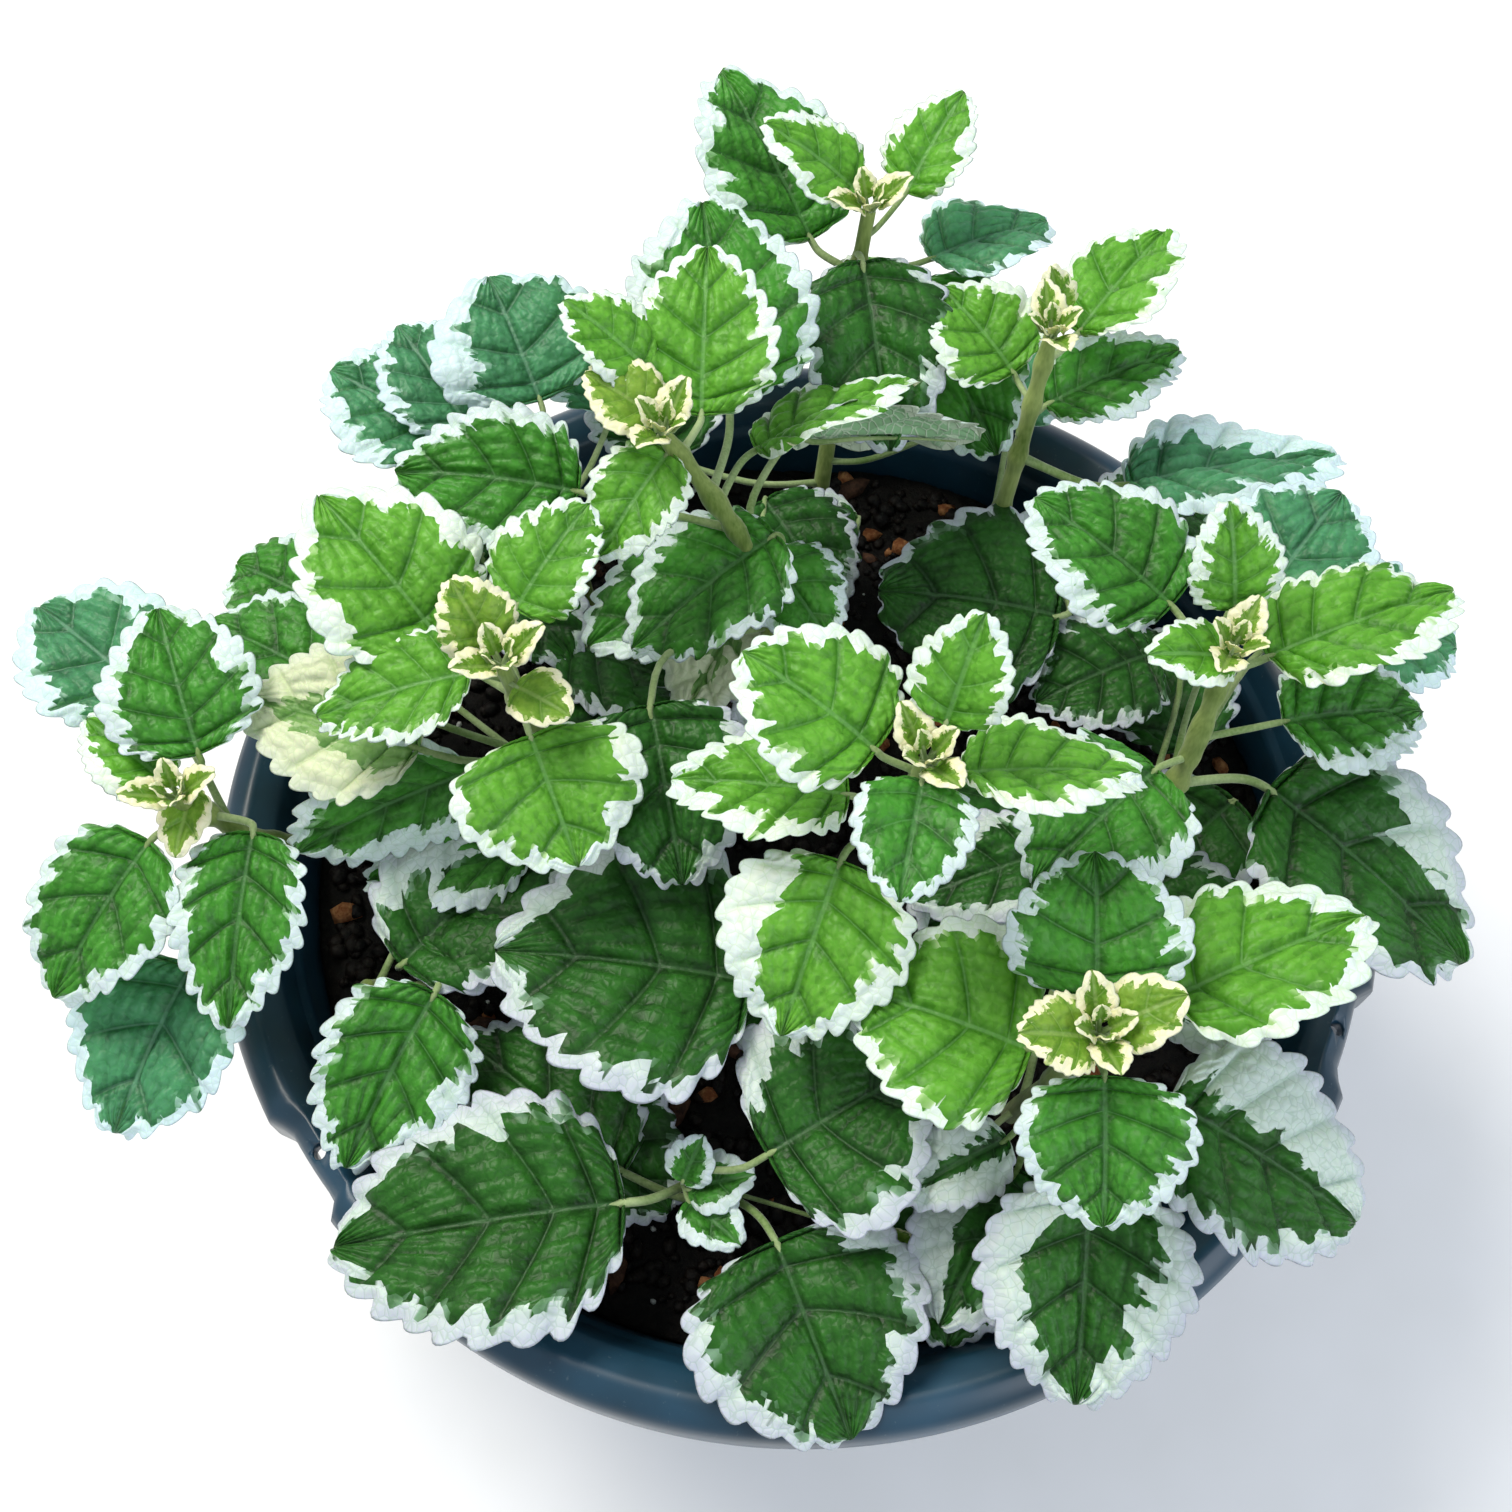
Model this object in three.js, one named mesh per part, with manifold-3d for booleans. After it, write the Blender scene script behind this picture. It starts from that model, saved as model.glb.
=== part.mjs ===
// Variegated Swedish ivy growing in a round plastic pot.
// Millimetres, +Z up. The origin is the centre of the pot's flat base.
// Angles are in degrees: headings turn anticlockwise from +X seen from above.
import * as THREE from 'three';
import { mergeVertices } from 'three/addons/utils/BufferGeometryUtils.js';
import Module from 'manifold-3d';

const wasm = await Module();
wasm.setup();

// Pot
const rimRadius = 125;
const potHeight = 140;
const baseRadius = 84;
const wallThickness = 2.4;
const floorThickness = 3;
const footChamfer = 3;
const lipWidth = 12;
const lipDrop = 16;
const lipThickness = 1.8;
const lipFall = 3;
const rimBevel = [1, 2];
const rimShoulder = 4;
const potSides = 60;

// Three stretches of the lip are set back for the clips of a wire hanger.
const clipHeading = 217;
const clipCount = 3;
const clipWidth = 20;
const clipSetBack = 3;
const clipHoleRadius = 1.6;

// Drain holes in the floor
const drainHoleCount = 6;
const drainHoleRadius = 5;
const drainCircleRadius = 55;
const holeSides = 16;
const cutMargin = 1;

// Soil
const soilDrop = 20;
const soilCrown = 3;
const soilShoulder = [0.7, 0.6];

// Plant
const stemRadius = 2.4;
const stemSides = 8;
const stemSteps = 7;
const rootDepth = 14;
const stemUpright = 2;
const petioleRadius = 1.1;
const petioleBend = 0.4;
const leafThickness = 1.2;
const leafFold = 14;
const leafDroop = 26;
const outlineSkew = 0.72;
const outlineFullness = 0.62;
const bladeSteps = 40;
const fitGap = 0.4;
const socketGap = 0.7;

// The plant's places are written for a pot with this rim radius and this drop from rim to
// soil. They follow the pot's rim, and only the stems' feet follow the soil.
const plantRimRadius = 125;
const plantSoilDrop = 20;
const spread = rimRadius / plantRimRadius;

const throatRadius = rimRadius - lipWidth;
const soilHeight = potHeight - soilDrop;

const potPlastic = { color: 0x24434c, roughness: 0.45, metalness: 0 };
const pottingMix = { color: 0x1d1814, roughness: 0.95, metalness: 0 };
const greenStem = { color: 0x9a9a5c, roughness: 0.7, metalness: 0 };
const leafBlade = { color: 0x3f8a34, roughness: 0.55, metalness: 0 };

function radians(degrees) {
  return THREE.MathUtils.degToRad(degrees);
}

// Unit vector at a heading, raised above the horizontal.
function direction(heading, rise) {
  const level = Math.cos(radians(rise));
  return new THREE.Vector3(
    level * Math.cos(radians(heading)),
    level * Math.sin(radians(heading)),
    Math.sin(radians(rise)),
  );
}

function namedMesh(name, geometry, material) {
  const mesh = new THREE.Mesh(geometry, new THREE.MeshStandardMaterial(material));
  mesh.name = name;
  return mesh;
}

function bareMesh(geometry) {
  const bare = geometry.clone();
  bare.deleteAttribute('normal');
  bare.deleteAttribute('uv');
  return mergeVertices(bare);
}

function toSolid(geometry) {
  const bare = bareMesh(geometry);
  return new wasm.Manifold(new wasm.Mesh({
    numProp: 3,
    vertProperties: new Float32Array(bare.attributes.position.array),
    triVerts: new Uint32Array(bare.index.array),
  }));
}

function toGeometry(solid) {
  const mesh = solid.getMesh();
  const geometry = new THREE.BufferGeometry();
  geometry.setAttribute('position', new THREE.BufferAttribute(mesh.vertProperties, 3));
  geometry.setIndex(new THREE.BufferAttribute(mesh.triVerts, 1));
  geometry.computeVertexNormals();
  return geometry;
}

// A profile of [radius, height] points turned about the Z axis.
function turned(profile) {
  const points = profile.map(([radius, height]) => new THREE.Vector2(radius, height));
  return new THREE.LatheGeometry(points, potSides).rotateX(Math.PI / 2);
}

function uprightCylinder(radius, sides, x, y, bottom, top) {
  const cylinder = new THREE.CylinderGeometry(radius, radius, top - bottom, sides);
  return cylinder.rotateX(Math.PI / 2).translate(x, y, (bottom + top) / 2);
}

// Inside radius of the pot wall at a height, from the floor to the throat.
function innerRadius(height) {
  const share = (height - floorThickness) / (potHeight - floorThickness);
  return THREE.MathUtils.lerp(baseRadius - wallThickness, throatRadius, share);
}

function makePot() {
  const skirtBottom = potHeight - lipDrop;
  const crease = rimRadius - lipWidth / 2;
  const skirtInside = rimRadius - lipThickness;
  const underLip = potHeight - lipFall - lipThickness;
  let pot = toSolid(turned([
    [0, 0],
    [baseRadius - footChamfer, 0],
    [baseRadius, footChamfer],
    [innerRadius(skirtBottom) + wallThickness, skirtBottom],
    [throatRadius + wallThickness, underLip],
    [skirtInside, underLip],
    [skirtInside, skirtBottom],
    [rimRadius, skirtBottom],
    [rimRadius, potHeight - rimShoulder],
    [rimRadius - rimBevel[0], potHeight - rimBevel[1]],
    [crease, potHeight],
    [throatRadius, potHeight - lipFall],
    [innerRadius(floorThickness), floorThickness],
    [0, floorThickness],
  ]));
  for (let i = 0; i < drainHoleCount; i += 1) {
    const place = direction((360 * i) / drainHoleCount, 0).multiplyScalar(drainCircleRadius);
    pot = pot.subtract(toSolid(uprightCylinder(
      drainHoleRadius,
      holeSides,
      place.x,
      place.y,
      -cutMargin,
      floorThickness + cutMargin,
    )));
  }
  for (let i = 0; i < clipCount; i += 1) {
    const heading = clipHeading + (360 * i) / clipCount;
    const notch = new THREE.BoxGeometry(clipSetBack * 2, clipWidth, lipDrop + cutMargin * 2);
    notch.translate(rimRadius, 0, potHeight - lipDrop / 2);
    notch.rotateZ(radians(heading));
    const hole = uprightCylinder(
      clipHoleRadius,
      holeSides,
      rimRadius - clipSetBack - clipHoleRadius * 2,
      0,
      skirtBottom,
      potHeight + cutMargin,
    ).rotateZ(radians(heading));
    pot = pot.subtract(toSolid(notch)).subtract(toSolid(hole));
  }
  return namedMesh('pot', toGeometry(pot), potPlastic);
}

// A point of the plant, from its place across the pot and its height over the written soil.
function plantPoint([x, y, height]) {
  return new THREE.Vector3(x * spread, y * spread, potHeight - plantSoilDrop + height * spread);
}

function stemCurve(shoot, depth = rootDepth) {
  const [x, y] = shoot.root;
  return new THREE.CatmullRomCurve3([
    plantPoint([x, y, 0]).setZ(soilHeight - depth * spread),
    plantPoint([x, y, stemUpright]),
    plantPoint(shoot.bend),
    plantPoint(shoot.tip),
  ]);
}

// Round tube along a curve.
function tube(curve, radius, steps) {
  const section = new THREE.Shape();
  section.absarc(0, 0, radius, 0, Math.PI * 2);
  return new THREE.ExtrudeGeometry(section, {
    steps,
    curveSegments: stemSides / 2,
    bevelEnabled: false,
    extrudePath: curve,
  });
}

function makeStem(shoot) {
  return namedMesh(`${shoot.name}_stem`, tube(stemCurve(shoot), stemRadius, stemSteps), greenStem);
}

// Soil fills the pot and has a hole for the buried foot of every stem.
function makeSoil(shoots) {
  const bottom = floorThickness + fitGap;
  const edge = innerRadius(soilHeight) - fitGap;
  let soil = toSolid(turned([
    [0, bottom],
    [innerRadius(bottom) - fitGap, bottom],
    [edge, soilHeight],
    [edge * soilShoulder[0], soilHeight + soilCrown * soilShoulder[1]],
    [0, soilHeight + soilCrown],
  ]));
  for (const shoot of shoots) {
    const socket = tube(stemCurve(shoot, rootDepth + socketGap), stemRadius + socketGap, stemSteps);
    soil = soil.subtract(toSolid(socket));
  }
  return namedMesh('soil', toGeometry(soil), pottingMix);
}

// Stations along a leaf: three round rings on the petiole, then the blade's rings.
const petioleStations = [0.04, 0.5, 0.96];
const bladeStations = [0.04, 0.16, 0.32, 0.5, 0.68, 0.84, 0.95];

// Across a blade ring, from the right edge over the top to the left edge and back underneath:
// share of the half width, and side of the middle surface.
const bladeSection = [[1, 0], [0.5, 1], [0, 1], [-0.5, 1], [-1, 0], [-0.65, -1], [0, -1], [0.65, -1]];

// Half width of an egg-shaped blade at a share of its length, as a share of the widest place.
function bladeOutline(share) {
  return Math.sin(Math.PI * share ** outlineSkew) ** outlineFullness;
}

// Bends a sphere's grid into a petiole and blade. The pole at the stem end starts the
// petiole and the other pole is the blade's tip.
function leafGeometry(node, leaf) {
  const [heading, rise, petioleLength] = leaf.petiole;
  const [facing, pitch, bladeLength, bladeWidth] = leaf.blade;
  const { roll = 0, fold = leafFold, droop = leafDroop } = leaf;
  const outward = direction(heading, rise);
  const clearOfStem = (stemRadius + petioleRadius + fitGap) / Math.cos(radians(rise));
  const start = node.clone().addScaledVector(outward, clearOfStem);
  const base = node.clone().addScaledVector(outward, petioleLength * spread);
  const bladeStart = direction(facing, pitch + droop / 2);
  const bend = base.clone().addScaledVector(bladeStart, -petioleBend * start.distanceTo(base));
  const petiole = new THREE.QuadraticBezierCurve3(start, bend, base);
  const length = bladeLength * spread;
  const halfWidth = (bladeWidth * spread) / 2;
  const side = new THREE.Vector3(Math.sin(radians(facing)), -Math.cos(radians(facing)), 0);

  // The blade's pitch falls evenly by the droop from base to tip.
  function bladeDirection(share) {
    return direction(facing, pitch + droop / 2 - droop * share);
  }

  // Middle line of the blade
  function bladePoint(share) {
    const point = base.clone();
    const steps = Math.max(1, Math.round(bladeSteps * share));
    for (let i = 0; i < steps; i += 1) {
      const along = ((i + 0.5) / steps) * share;
      point.addScaledVector(bladeDirection(along), (length * share) / steps);
    }
    return point;
  }

  function petiolePoint(station, turn) {
    const centre = petiole.getPoint(station);
    const along = petiole.getTangent(station);
    const right = along.clone().cross(new THREE.Vector3(0, 0, 1)).normalize();
    const up = right.clone().cross(along);
    return centre
      .addScaledVector(right, petioleRadius * Math.cos(turn))
      .addScaledVector(up, petioleRadius * Math.sin(turn));
  }

  function bladeSurfacePoint(station, place) {
    const along = bladeDirection(station);
    const right = side.clone().applyAxisAngle(along, radians(-roll));
    const up = right.clone().cross(along);
    const [share, face] = bladeSection[place];
    const reach = share * halfWidth * bladeOutline(station);
    return bladePoint(station)
      .addScaledVector(right, reach * Math.cos(radians(fold)))
      .addScaledVector(up, Math.abs(reach) * Math.sin(radians(fold)) + (face * leafThickness) / 2);
  }

  const rings = petioleStations.length + bladeStations.length;
  const sections = bladeSection.length;
  const geometry = new THREE.SphereGeometry(1, sections, rings + 1);
  const position = geometry.attributes.position;
  for (let i = 0; i < position.count; i += 1) {
    const ring = Math.floor(i / (sections + 1));
    const place = (i % (sections + 1)) % sections;
    let point;
    if (ring === 0) {
      point = petiole.getPoint(0);
    } else if (ring <= petioleStations.length) {
      point = petiolePoint(petioleStations[ring - 1], (place / sections) * Math.PI * 2);
    } else if (ring <= rings) {
      point = bladeSurfacePoint(bladeStations[ring - 1 - petioleStations.length], place);
    } else {
      point = bladePoint(1);
    }
    position.setXYZ(i, point.x, point.y, point.z);
  }
  const closed = bareMesh(geometry);
  closed.computeVertexNormals();
  return closed;
}

function makeLeaves(shoot) {
  const curve = stemCurve(shoot);
  return shoot.leaves.map((leaf, i) => {
    const node = curve.getPoint((1 + 2 * leaf.along) / 3);
    return namedMesh(`${shoot.name}_leaf_${i + 1}`, leafGeometry(node, leaf), leafBlade);
  });
}

// Every shoot: where it is planted, the middle and tip of its stem with their heights over the
// soil, and its leaves. A leaf has its share along the stem over the soil, its petiole's
// [heading, rise, length] and its blade's [facing, pitch, length, width].
const shoots = [
  {
    name: 'back',
    root: [6, 88],
    bend: [10, 98, 50],
    tip: [14, 103, 92],
    leaves: [
      { along: 0.8, petiole: [138, 6, 13], blade: [120, 20, 42, 34], roll: -8 },
      { along: 0.82, petiole: [13, -3, 16], blade: [24, -4, 29, 28], roll: 15 },
      { along: 0.62, petiole: [30, 18, 15], blade: [-57, -24, 42, 34], roll: -15 },
    ],
  },
  {
    name: 'right_back',
    root: [44, 70],
    bend: [46, 66, 50],
    tip: [49, 72, 90],
    leaves: [
      { along: 0.75, petiole: [115, 30, 9], blade: [130, 14, 24, 26] },
      { along: 0.9, petiole: [48, 2, 12], blade: [50, 8, 31, 25], roll: 20 },
      { along: 0.4, petiole: [-65, -11, 28], blade: [172, 2, 40, 44], roll: 12 },
      { along: 0.6, petiole: [-14, -5, 24], blade: [12, -6, 49, 34], roll: 22 },
    ],
  },
  {
    name: 'centre_back',
    root: [-2, 22],
    bend: [-10, 36, 66],
    tip: [-26, 41, 100],
    leaves: [
      { along: 0.93, petiole: [60, 5, 9], blade: [88, 20, 33, 28] },
      { along: 0.75, petiole: [82, -2, 23], blade: [98, 20, 42, 38] },
      { along: 0.72, petiole: [62, -8, 16], blade: [28, 0, 36, 26], roll: 35 },
      { along: 0.6, petiole: [160, -5, 34], blade: [173, 0, 38, 29], roll: 18 },
      { along: 0.34, petiole: [-127, 32, 45], blade: [-79, -16, 35, 34] },
    ],
  },
  {
    name: 'left_back',
    root: [-48, 58],
    bend: [-52, 68, 32],
    tip: [-58, 76, 56],
    leaves: [
      { along: 0.85, petiole: [90, 30, 12], blade: [114, 18, 31, 40] },
      { along: 0.6, petiole: [156, 20, 26], blade: [151, 8, 34, 34] },
    ],
  },
  {
    name: 'left',
    root: [-48, -2],
    bend: [-50, 0, 46],
    tip: [-54, -2, 90],
    leaves: [
      { along: 0.85, petiole: [143, 3, 19], blade: [132, 14, 37, 34] },
      { along: 0.85, petiole: [-72, -4, 8], blade: [-68, -18, 26, 36] },
      { along: 0.5, petiole: [-171, 31, 28], blade: [161, -3, 38, 30], roll: 15 },
    ],
  },
  {
    name: 'far_left',
    root: [-90, 4],
    bend: [-108, -10, 30],
    tip: [-119, -14, 60],
    leaves: [
      { along: 0.3, petiole: [90, 34, 50], blade: [150, -6, 24, 28] },
      { along: 0.72, petiole: [126, 6, 34], blade: [140, -6, 38, 33] },
      { along: 0.9, petiole: [80, 45, 11], blade: [110, 10, 32, 30] },
      { along: 0.84, petiole: [-150, 5, 12], blade: [-124, -22, 36, 30] },
      { along: 0.86, petiole: [-24, 5, 11], blade: [-94, -16, 38, 25] },
      { along: 0.5, petiole: [-118, -2, 30], blade: [-113, -16, 36, 35] },
    ],
  },
  {
    name: 'right',
    root: [68, -8],
    bend: [74, -6, 50],
    tip: [77, 3, 86],
    leaves: [
      { along: 0.85, petiole: [107, 0, 20], blade: [140, 8, 34, 31] },
      { along: 0.93, petiole: [20, 0, 9], blade: [20, 2, 39, 29], roll: 20 },
      { along: 0.72, petiole: [62, 3, 31], blade: [52, 2, 32, 30] },
      { along: 0.5, petiole: [44, 5, 50], blade: [-1, -20, 30, 30] },
      { along: 0.68, petiole: [12, 2, 17], blade: [10, -10, 31, 26] },
      { along: 0.5, petiole: [0, -8, 19], blade: [-40, -16, 52, 42] },
      { along: 0.25, petiole: [80, 6, 44], blade: [-157, -6, 29, 30] },
      { along: 0.62, petiole: [-150, 15, 9], blade: [-138, -4, 34, 33] },
    ],
  },
  {
    name: 'centre',
    root: [10, -22],
    bend: [15, -25, 52],
    tip: [19, -27, 102],
    leaves: [
      { along: 0.93, petiole: [163, 38, 10], blade: [146, 14, 28, 29] },
      { along: 0.9, petiole: [9, 20, 8], blade: [3, -8, 32, 26], roll: 28 },
      { along: 0.75, petiole: [165, 25, 11], blade: [174, -2, 32, 27], roll: -18 },
      { along: 0.75, petiole: [-143, 6, 14], blade: [-111, -27, 33, 34] },
      { along: 0.38, petiole: [-138, 10, 32], blade: [173, 0, 50, 52] },
    ],
  },
  {
    name: 'right_front',
    root: [44, -60],
    bend: [46, -64, 42],
    tip: [48, -66, 79],
    leaves: [
      { along: 0.88, petiole: [78, 30, 9], blade: [89, 18, 25, 32] },
      { along: 0.84, petiole: [-174, 20, 10], blade: [158, -5, 32, 38] },
      { along: 0.9, petiole: [-75, 25, 7], blade: [-92, -20, 25, 30] },
      { along: 0.8, petiole: [30, 4, 19], blade: [23, 0, 41, 32], roll: 18 },
      { along: 0.58, petiole: [-16, 8, 20], blade: [-27, -22, 44, 38] },
      { along: 0.5, petiole: [-76, 14, 20], blade: [-95, -22, 40, 38] },
    ],
  },
  {
    name: 'front',
    root: [-20, -77],
    bend: [-21, -77, 12],
    tip: [-22, -76, 24],
    leaves: [
      { along: 0.8, petiole: [-2, 54, 25], blade: [28, 8, 33, 44] },
      { along: 0.65, petiole: [-40, 30, 24], blade: [-68, -12, 38, 46] },
      { along: 0.5, petiole: [-155, 45, 20], blade: [-173, -8, 58, 46] },
    ],
  },
  {
    name: 'left_front',
    root: [-80, -36],
    bend: [-83, -39, 16],
    tip: [-86, -42, 32],
    leaves: [
      { along: 0.6, petiole: [-18, 48, 18], blade: [-117, -16, 38, 30], roll: 20 },
      { along: 0.88, petiole: [60, 5, 14], blade: [26, 0, 36, 40] },
    ],
  },
];

const group = new THREE.Group();
group.add(makePot());
group.add(makeSoil(shoots));
for (const shoot of shoots) {
  group.add(makeStem(shoot));
  group.add(...makeLeaves(shoot));
}

export default group;
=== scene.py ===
import math
import bpy
import numpy as np
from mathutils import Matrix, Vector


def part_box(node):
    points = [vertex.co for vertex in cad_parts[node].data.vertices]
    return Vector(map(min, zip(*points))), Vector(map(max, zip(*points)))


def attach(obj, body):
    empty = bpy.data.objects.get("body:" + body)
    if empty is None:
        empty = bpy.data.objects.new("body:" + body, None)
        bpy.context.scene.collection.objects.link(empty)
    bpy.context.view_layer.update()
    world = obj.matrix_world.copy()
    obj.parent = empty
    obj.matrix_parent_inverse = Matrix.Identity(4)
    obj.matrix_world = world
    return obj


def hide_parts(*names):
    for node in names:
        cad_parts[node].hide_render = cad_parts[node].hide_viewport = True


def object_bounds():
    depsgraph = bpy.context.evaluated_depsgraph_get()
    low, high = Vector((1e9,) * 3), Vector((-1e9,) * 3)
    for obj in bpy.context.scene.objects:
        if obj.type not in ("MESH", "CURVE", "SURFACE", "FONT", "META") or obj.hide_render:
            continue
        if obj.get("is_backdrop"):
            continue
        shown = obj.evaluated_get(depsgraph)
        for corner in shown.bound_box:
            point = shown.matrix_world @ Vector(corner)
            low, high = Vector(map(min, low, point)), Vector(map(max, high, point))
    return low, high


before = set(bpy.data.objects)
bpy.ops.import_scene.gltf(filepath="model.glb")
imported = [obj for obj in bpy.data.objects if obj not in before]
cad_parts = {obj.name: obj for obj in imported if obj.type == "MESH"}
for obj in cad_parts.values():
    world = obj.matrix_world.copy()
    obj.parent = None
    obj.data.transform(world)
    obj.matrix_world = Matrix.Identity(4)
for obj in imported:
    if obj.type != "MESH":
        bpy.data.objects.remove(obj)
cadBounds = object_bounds()

# Variegated Swedish ivy in a round plastic pot. Shapes are worked out in millimetres and
# written to the meshes in metres.
mm = 0.001


def linearColour(hexColour):
    channels = np.array([int(hexColour[i:i + 2], 16) / 255 for i in (1, 3, 5)])
    linear = np.where(channels <= 0.04045, channels / 12.92, ((channels + 0.055) / 1.055) ** 2.4)
    return (*linear.tolist(), 1.0)


# Adds a node. A setting is an input's value, or the socket that feeds it, where the node has
# such an input, else a property.
def addNode(tree, kind, settings):
    node = tree.nodes.new(kind)
    for key, value in settings.items():
        if isinstance(value, bpy.types.NodeSocket):
            tree.links.new(value, node.inputs[key])
        elif isinstance(key, int) or key in node.inputs:
            node.inputs[key].default_value = value
        else:
            setattr(node, key, value)
    return node


def calculate(tree, operation, *values):
    return addNode(tree, "ShaderNodeMath", {"operation": operation, **dict(enumerate(values))}).outputs[0]


def remap(tree, value, low, high, first=0, last=1):
    return addNode(tree, "ShaderNodeMapRange", {0: value, 1: low, 2: high, 3: first, 4: last}).outputs[0]


# Blends two colours, each a hex string or a socket.
def blend(tree, share, first, second):
    first, second = (linearColour(end) if isinstance(end, str) else end for end in (first, second))
    return addNode(tree, "ShaderNodeMix", {"data_type": "RGBA", 0: share, 6: first, 7: second}).outputs[2]


def noise(tree, place, scale, detail, **settings):
    texture = {"Scale": scale, "Detail": detail, **settings, "Vector": place}
    return addNode(tree, "ShaderNodeTexNoise", texture).outputs["Fac"]


def objectPlace(tree):
    return addNode(tree, "ShaderNodeTexCoord", {}).outputs["Object"]


def readField(tree, name, output="Fac"):
    return addNode(tree, "ShaderNodeAttribute", {"attribute_name": name}).outputs[output]


# Feeds a shader its colour and a bump of the given strength and height in metres.
def finishShader(tree, shader, colour, relief, strength, height):
    tree.links.new(colour, shader.inputs["Base Color"])
    bump = addNode(tree, "ShaderNodeBump", {"Strength": strength, "Distance": height, "Height": relief})
    tree.links.new(bump.outputs[0], shader.inputs["Normal"])


def newMaterial(name, settings):
    material = bpy.data.materials.new(name)
    material.use_nodes = True
    tree = material.node_tree
    tree.nodes.clear()
    shader = addNode(tree, "ShaderNodeBsdfPrincipled", settings)
    addNode(tree, "ShaderNodeOutputMaterial", {"Surface": shader.outputs["BSDF"]})
    return material, tree, shader


# Turns shells into one object. A shell has points, quads, triangles, a material slot and fields.
def makeObject(name, shells, materials):
    points = np.vstack([shell["points"] for shell in shells]) * mm
    starts = np.cumsum([0] + [len(shell["points"]) for shell in shells])
    quads = np.vstack([shell["quads"] + start for shell, start in zip(shells, starts)])
    triangles = np.vstack([shell["triangles"] + start for shell, start in zip(shells, starts)])
    corners = np.concatenate([quads.ravel(), triangles.ravel()])
    sizes = np.concatenate([np.full(len(quads), 4), np.full(len(triangles), 3)])
    mesh = bpy.data.meshes.new(name)
    mesh.vertices.add(len(points))
    mesh.vertices.foreach_set("co", points.astype(np.float32).ravel())
    mesh.loops.add(len(corners))
    mesh.loops.foreach_set("vertex_index", corners.astype(np.int32))
    mesh.polygons.add(len(sizes))
    loopStarts = np.cumsum(sizes) - sizes
    mesh.polygons.foreach_set("loop_start", loopStarts.astype(np.int32))
    slots = np.concatenate([shell[key] for key in ("quadSlots", "triangleSlots") for shell in shells])
    mesh.polygons.foreach_set("material_index", slots.astype(np.int32))
    mesh.polygons.foreach_set("use_smooth", np.ones(len(sizes), bool))
    for field in shells[0].get("fields", {}):
        values = np.concatenate([shell["fields"][field] for shell in shells]).astype(np.float32)
        kind, key = ("FLOAT", "value") if values.ndim == 1 else ("FLOAT_VECTOR", "vector")
        mesh.attributes.new(field, kind, "POINT").data.foreach_set(key, values.ravel())
    mesh.update(calc_edges=True)
    for material in materials:
        mesh.materials.append(material)
    piece = bpy.data.objects.new(name, mesh)
    bpy.context.scene.collection.objects.link(piece)
    return piece


# Faces of a closed body made of rings between a start pole and an end pole.
def ringFaces(rings, sides):
    turn = np.arange(sides)
    onward = (turn + 1) % sides
    first = 1 + sides * np.arange(rings - 1)[:, None]
    quads = np.stack([first + turn, first + sides + turn, first + sides + onward, first + onward], -1)
    last = 1 + sides * (rings - 1)
    start = np.stack([np.zeros(sides, int), 1 + turn, 1 + onward], -1)
    end = np.stack([last + turn, np.full(sides, last + sides), last + onward], -1)
    return quads.reshape(-1, 4), np.vstack([start, end])


# A closed shell from a (rings, sides, 3) grid and its two poles.
def ringShell(grid, startPole, endPole, slot=0):
    quads, triangles = ringFaces(*grid.shape[:2])
    return {
        "points": np.vstack([startPole, grid.reshape(-1, 3), endPole]),
        "quads": quads,
        "triangles": triangles,
        "quadSlots": np.full(len(quads), slot),
        "triangleSlots": np.full(len(triangles), slot),
    }


def unit(vectors):
    return vectors / np.linalg.norm(vectors, axis=-1, keepdims=True)


# Unit vectors at headings (anticlockwise from +X) raised above the horizontal, in degrees.
def direction(heading, rise):
    heading, rise = np.broadcast_arrays(np.radians(heading), np.radians(rise))
    return np.stack([np.cos(rise) * np.cos(heading), np.cos(rise) * np.sin(heading), np.sin(rise)], -1)


def smoothStep(values, low, high):
    share = np.clip((values - low) / (high - low), 0, 1)
    return share * share * (3 - 2 * share)


# Catmull-Rom: each stretch is the cubic through its two ends that leaves them along the
# chords of their neighbours.
def smoothPath(points, count):
    points = np.asarray(points, float)
    knots = np.vstack([2 * points[0] - points[1], points, 2 * points[-1] - points[-2]])
    place = np.linspace(0, len(points) - 1 - 1e-9, count)
    index = place.astype(int)
    share = (place - index)[:, None]
    a, b, c, d = (knots[index + i] for i in range(4))
    return b + 0.5 * share * (c - a + share * (2 * a - 5 * b + 4 * c - d + share * (3 * (b - c) + d - a)))


# Value noise from -1 to 1: random numbers on a lattice of the cell size, blended smoothly.
def latticeNoise(points, cell, seed):
    table = np.random.default_rng(seed).uniform(-1, 1, 4096)
    place = np.asarray(points, float) / cell
    corner = np.floor(place).astype(np.int64)
    share = place - corner
    share = share * share * (3 - 2 * share)
    total = 0
    for step in np.ndindex(*(2,) * place.shape[-1]):
        at = corner + np.array(step)
        mixed = (at * np.array([73856093, 19349663, 83492791])[:place.shape[-1]]).sum(-1)
        weight = np.prod(np.where(np.array(step) == 1, share, 1 - share), axis=-1)
        total = total + table[np.abs(mixed) % 4096] * weight
    return total


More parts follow.
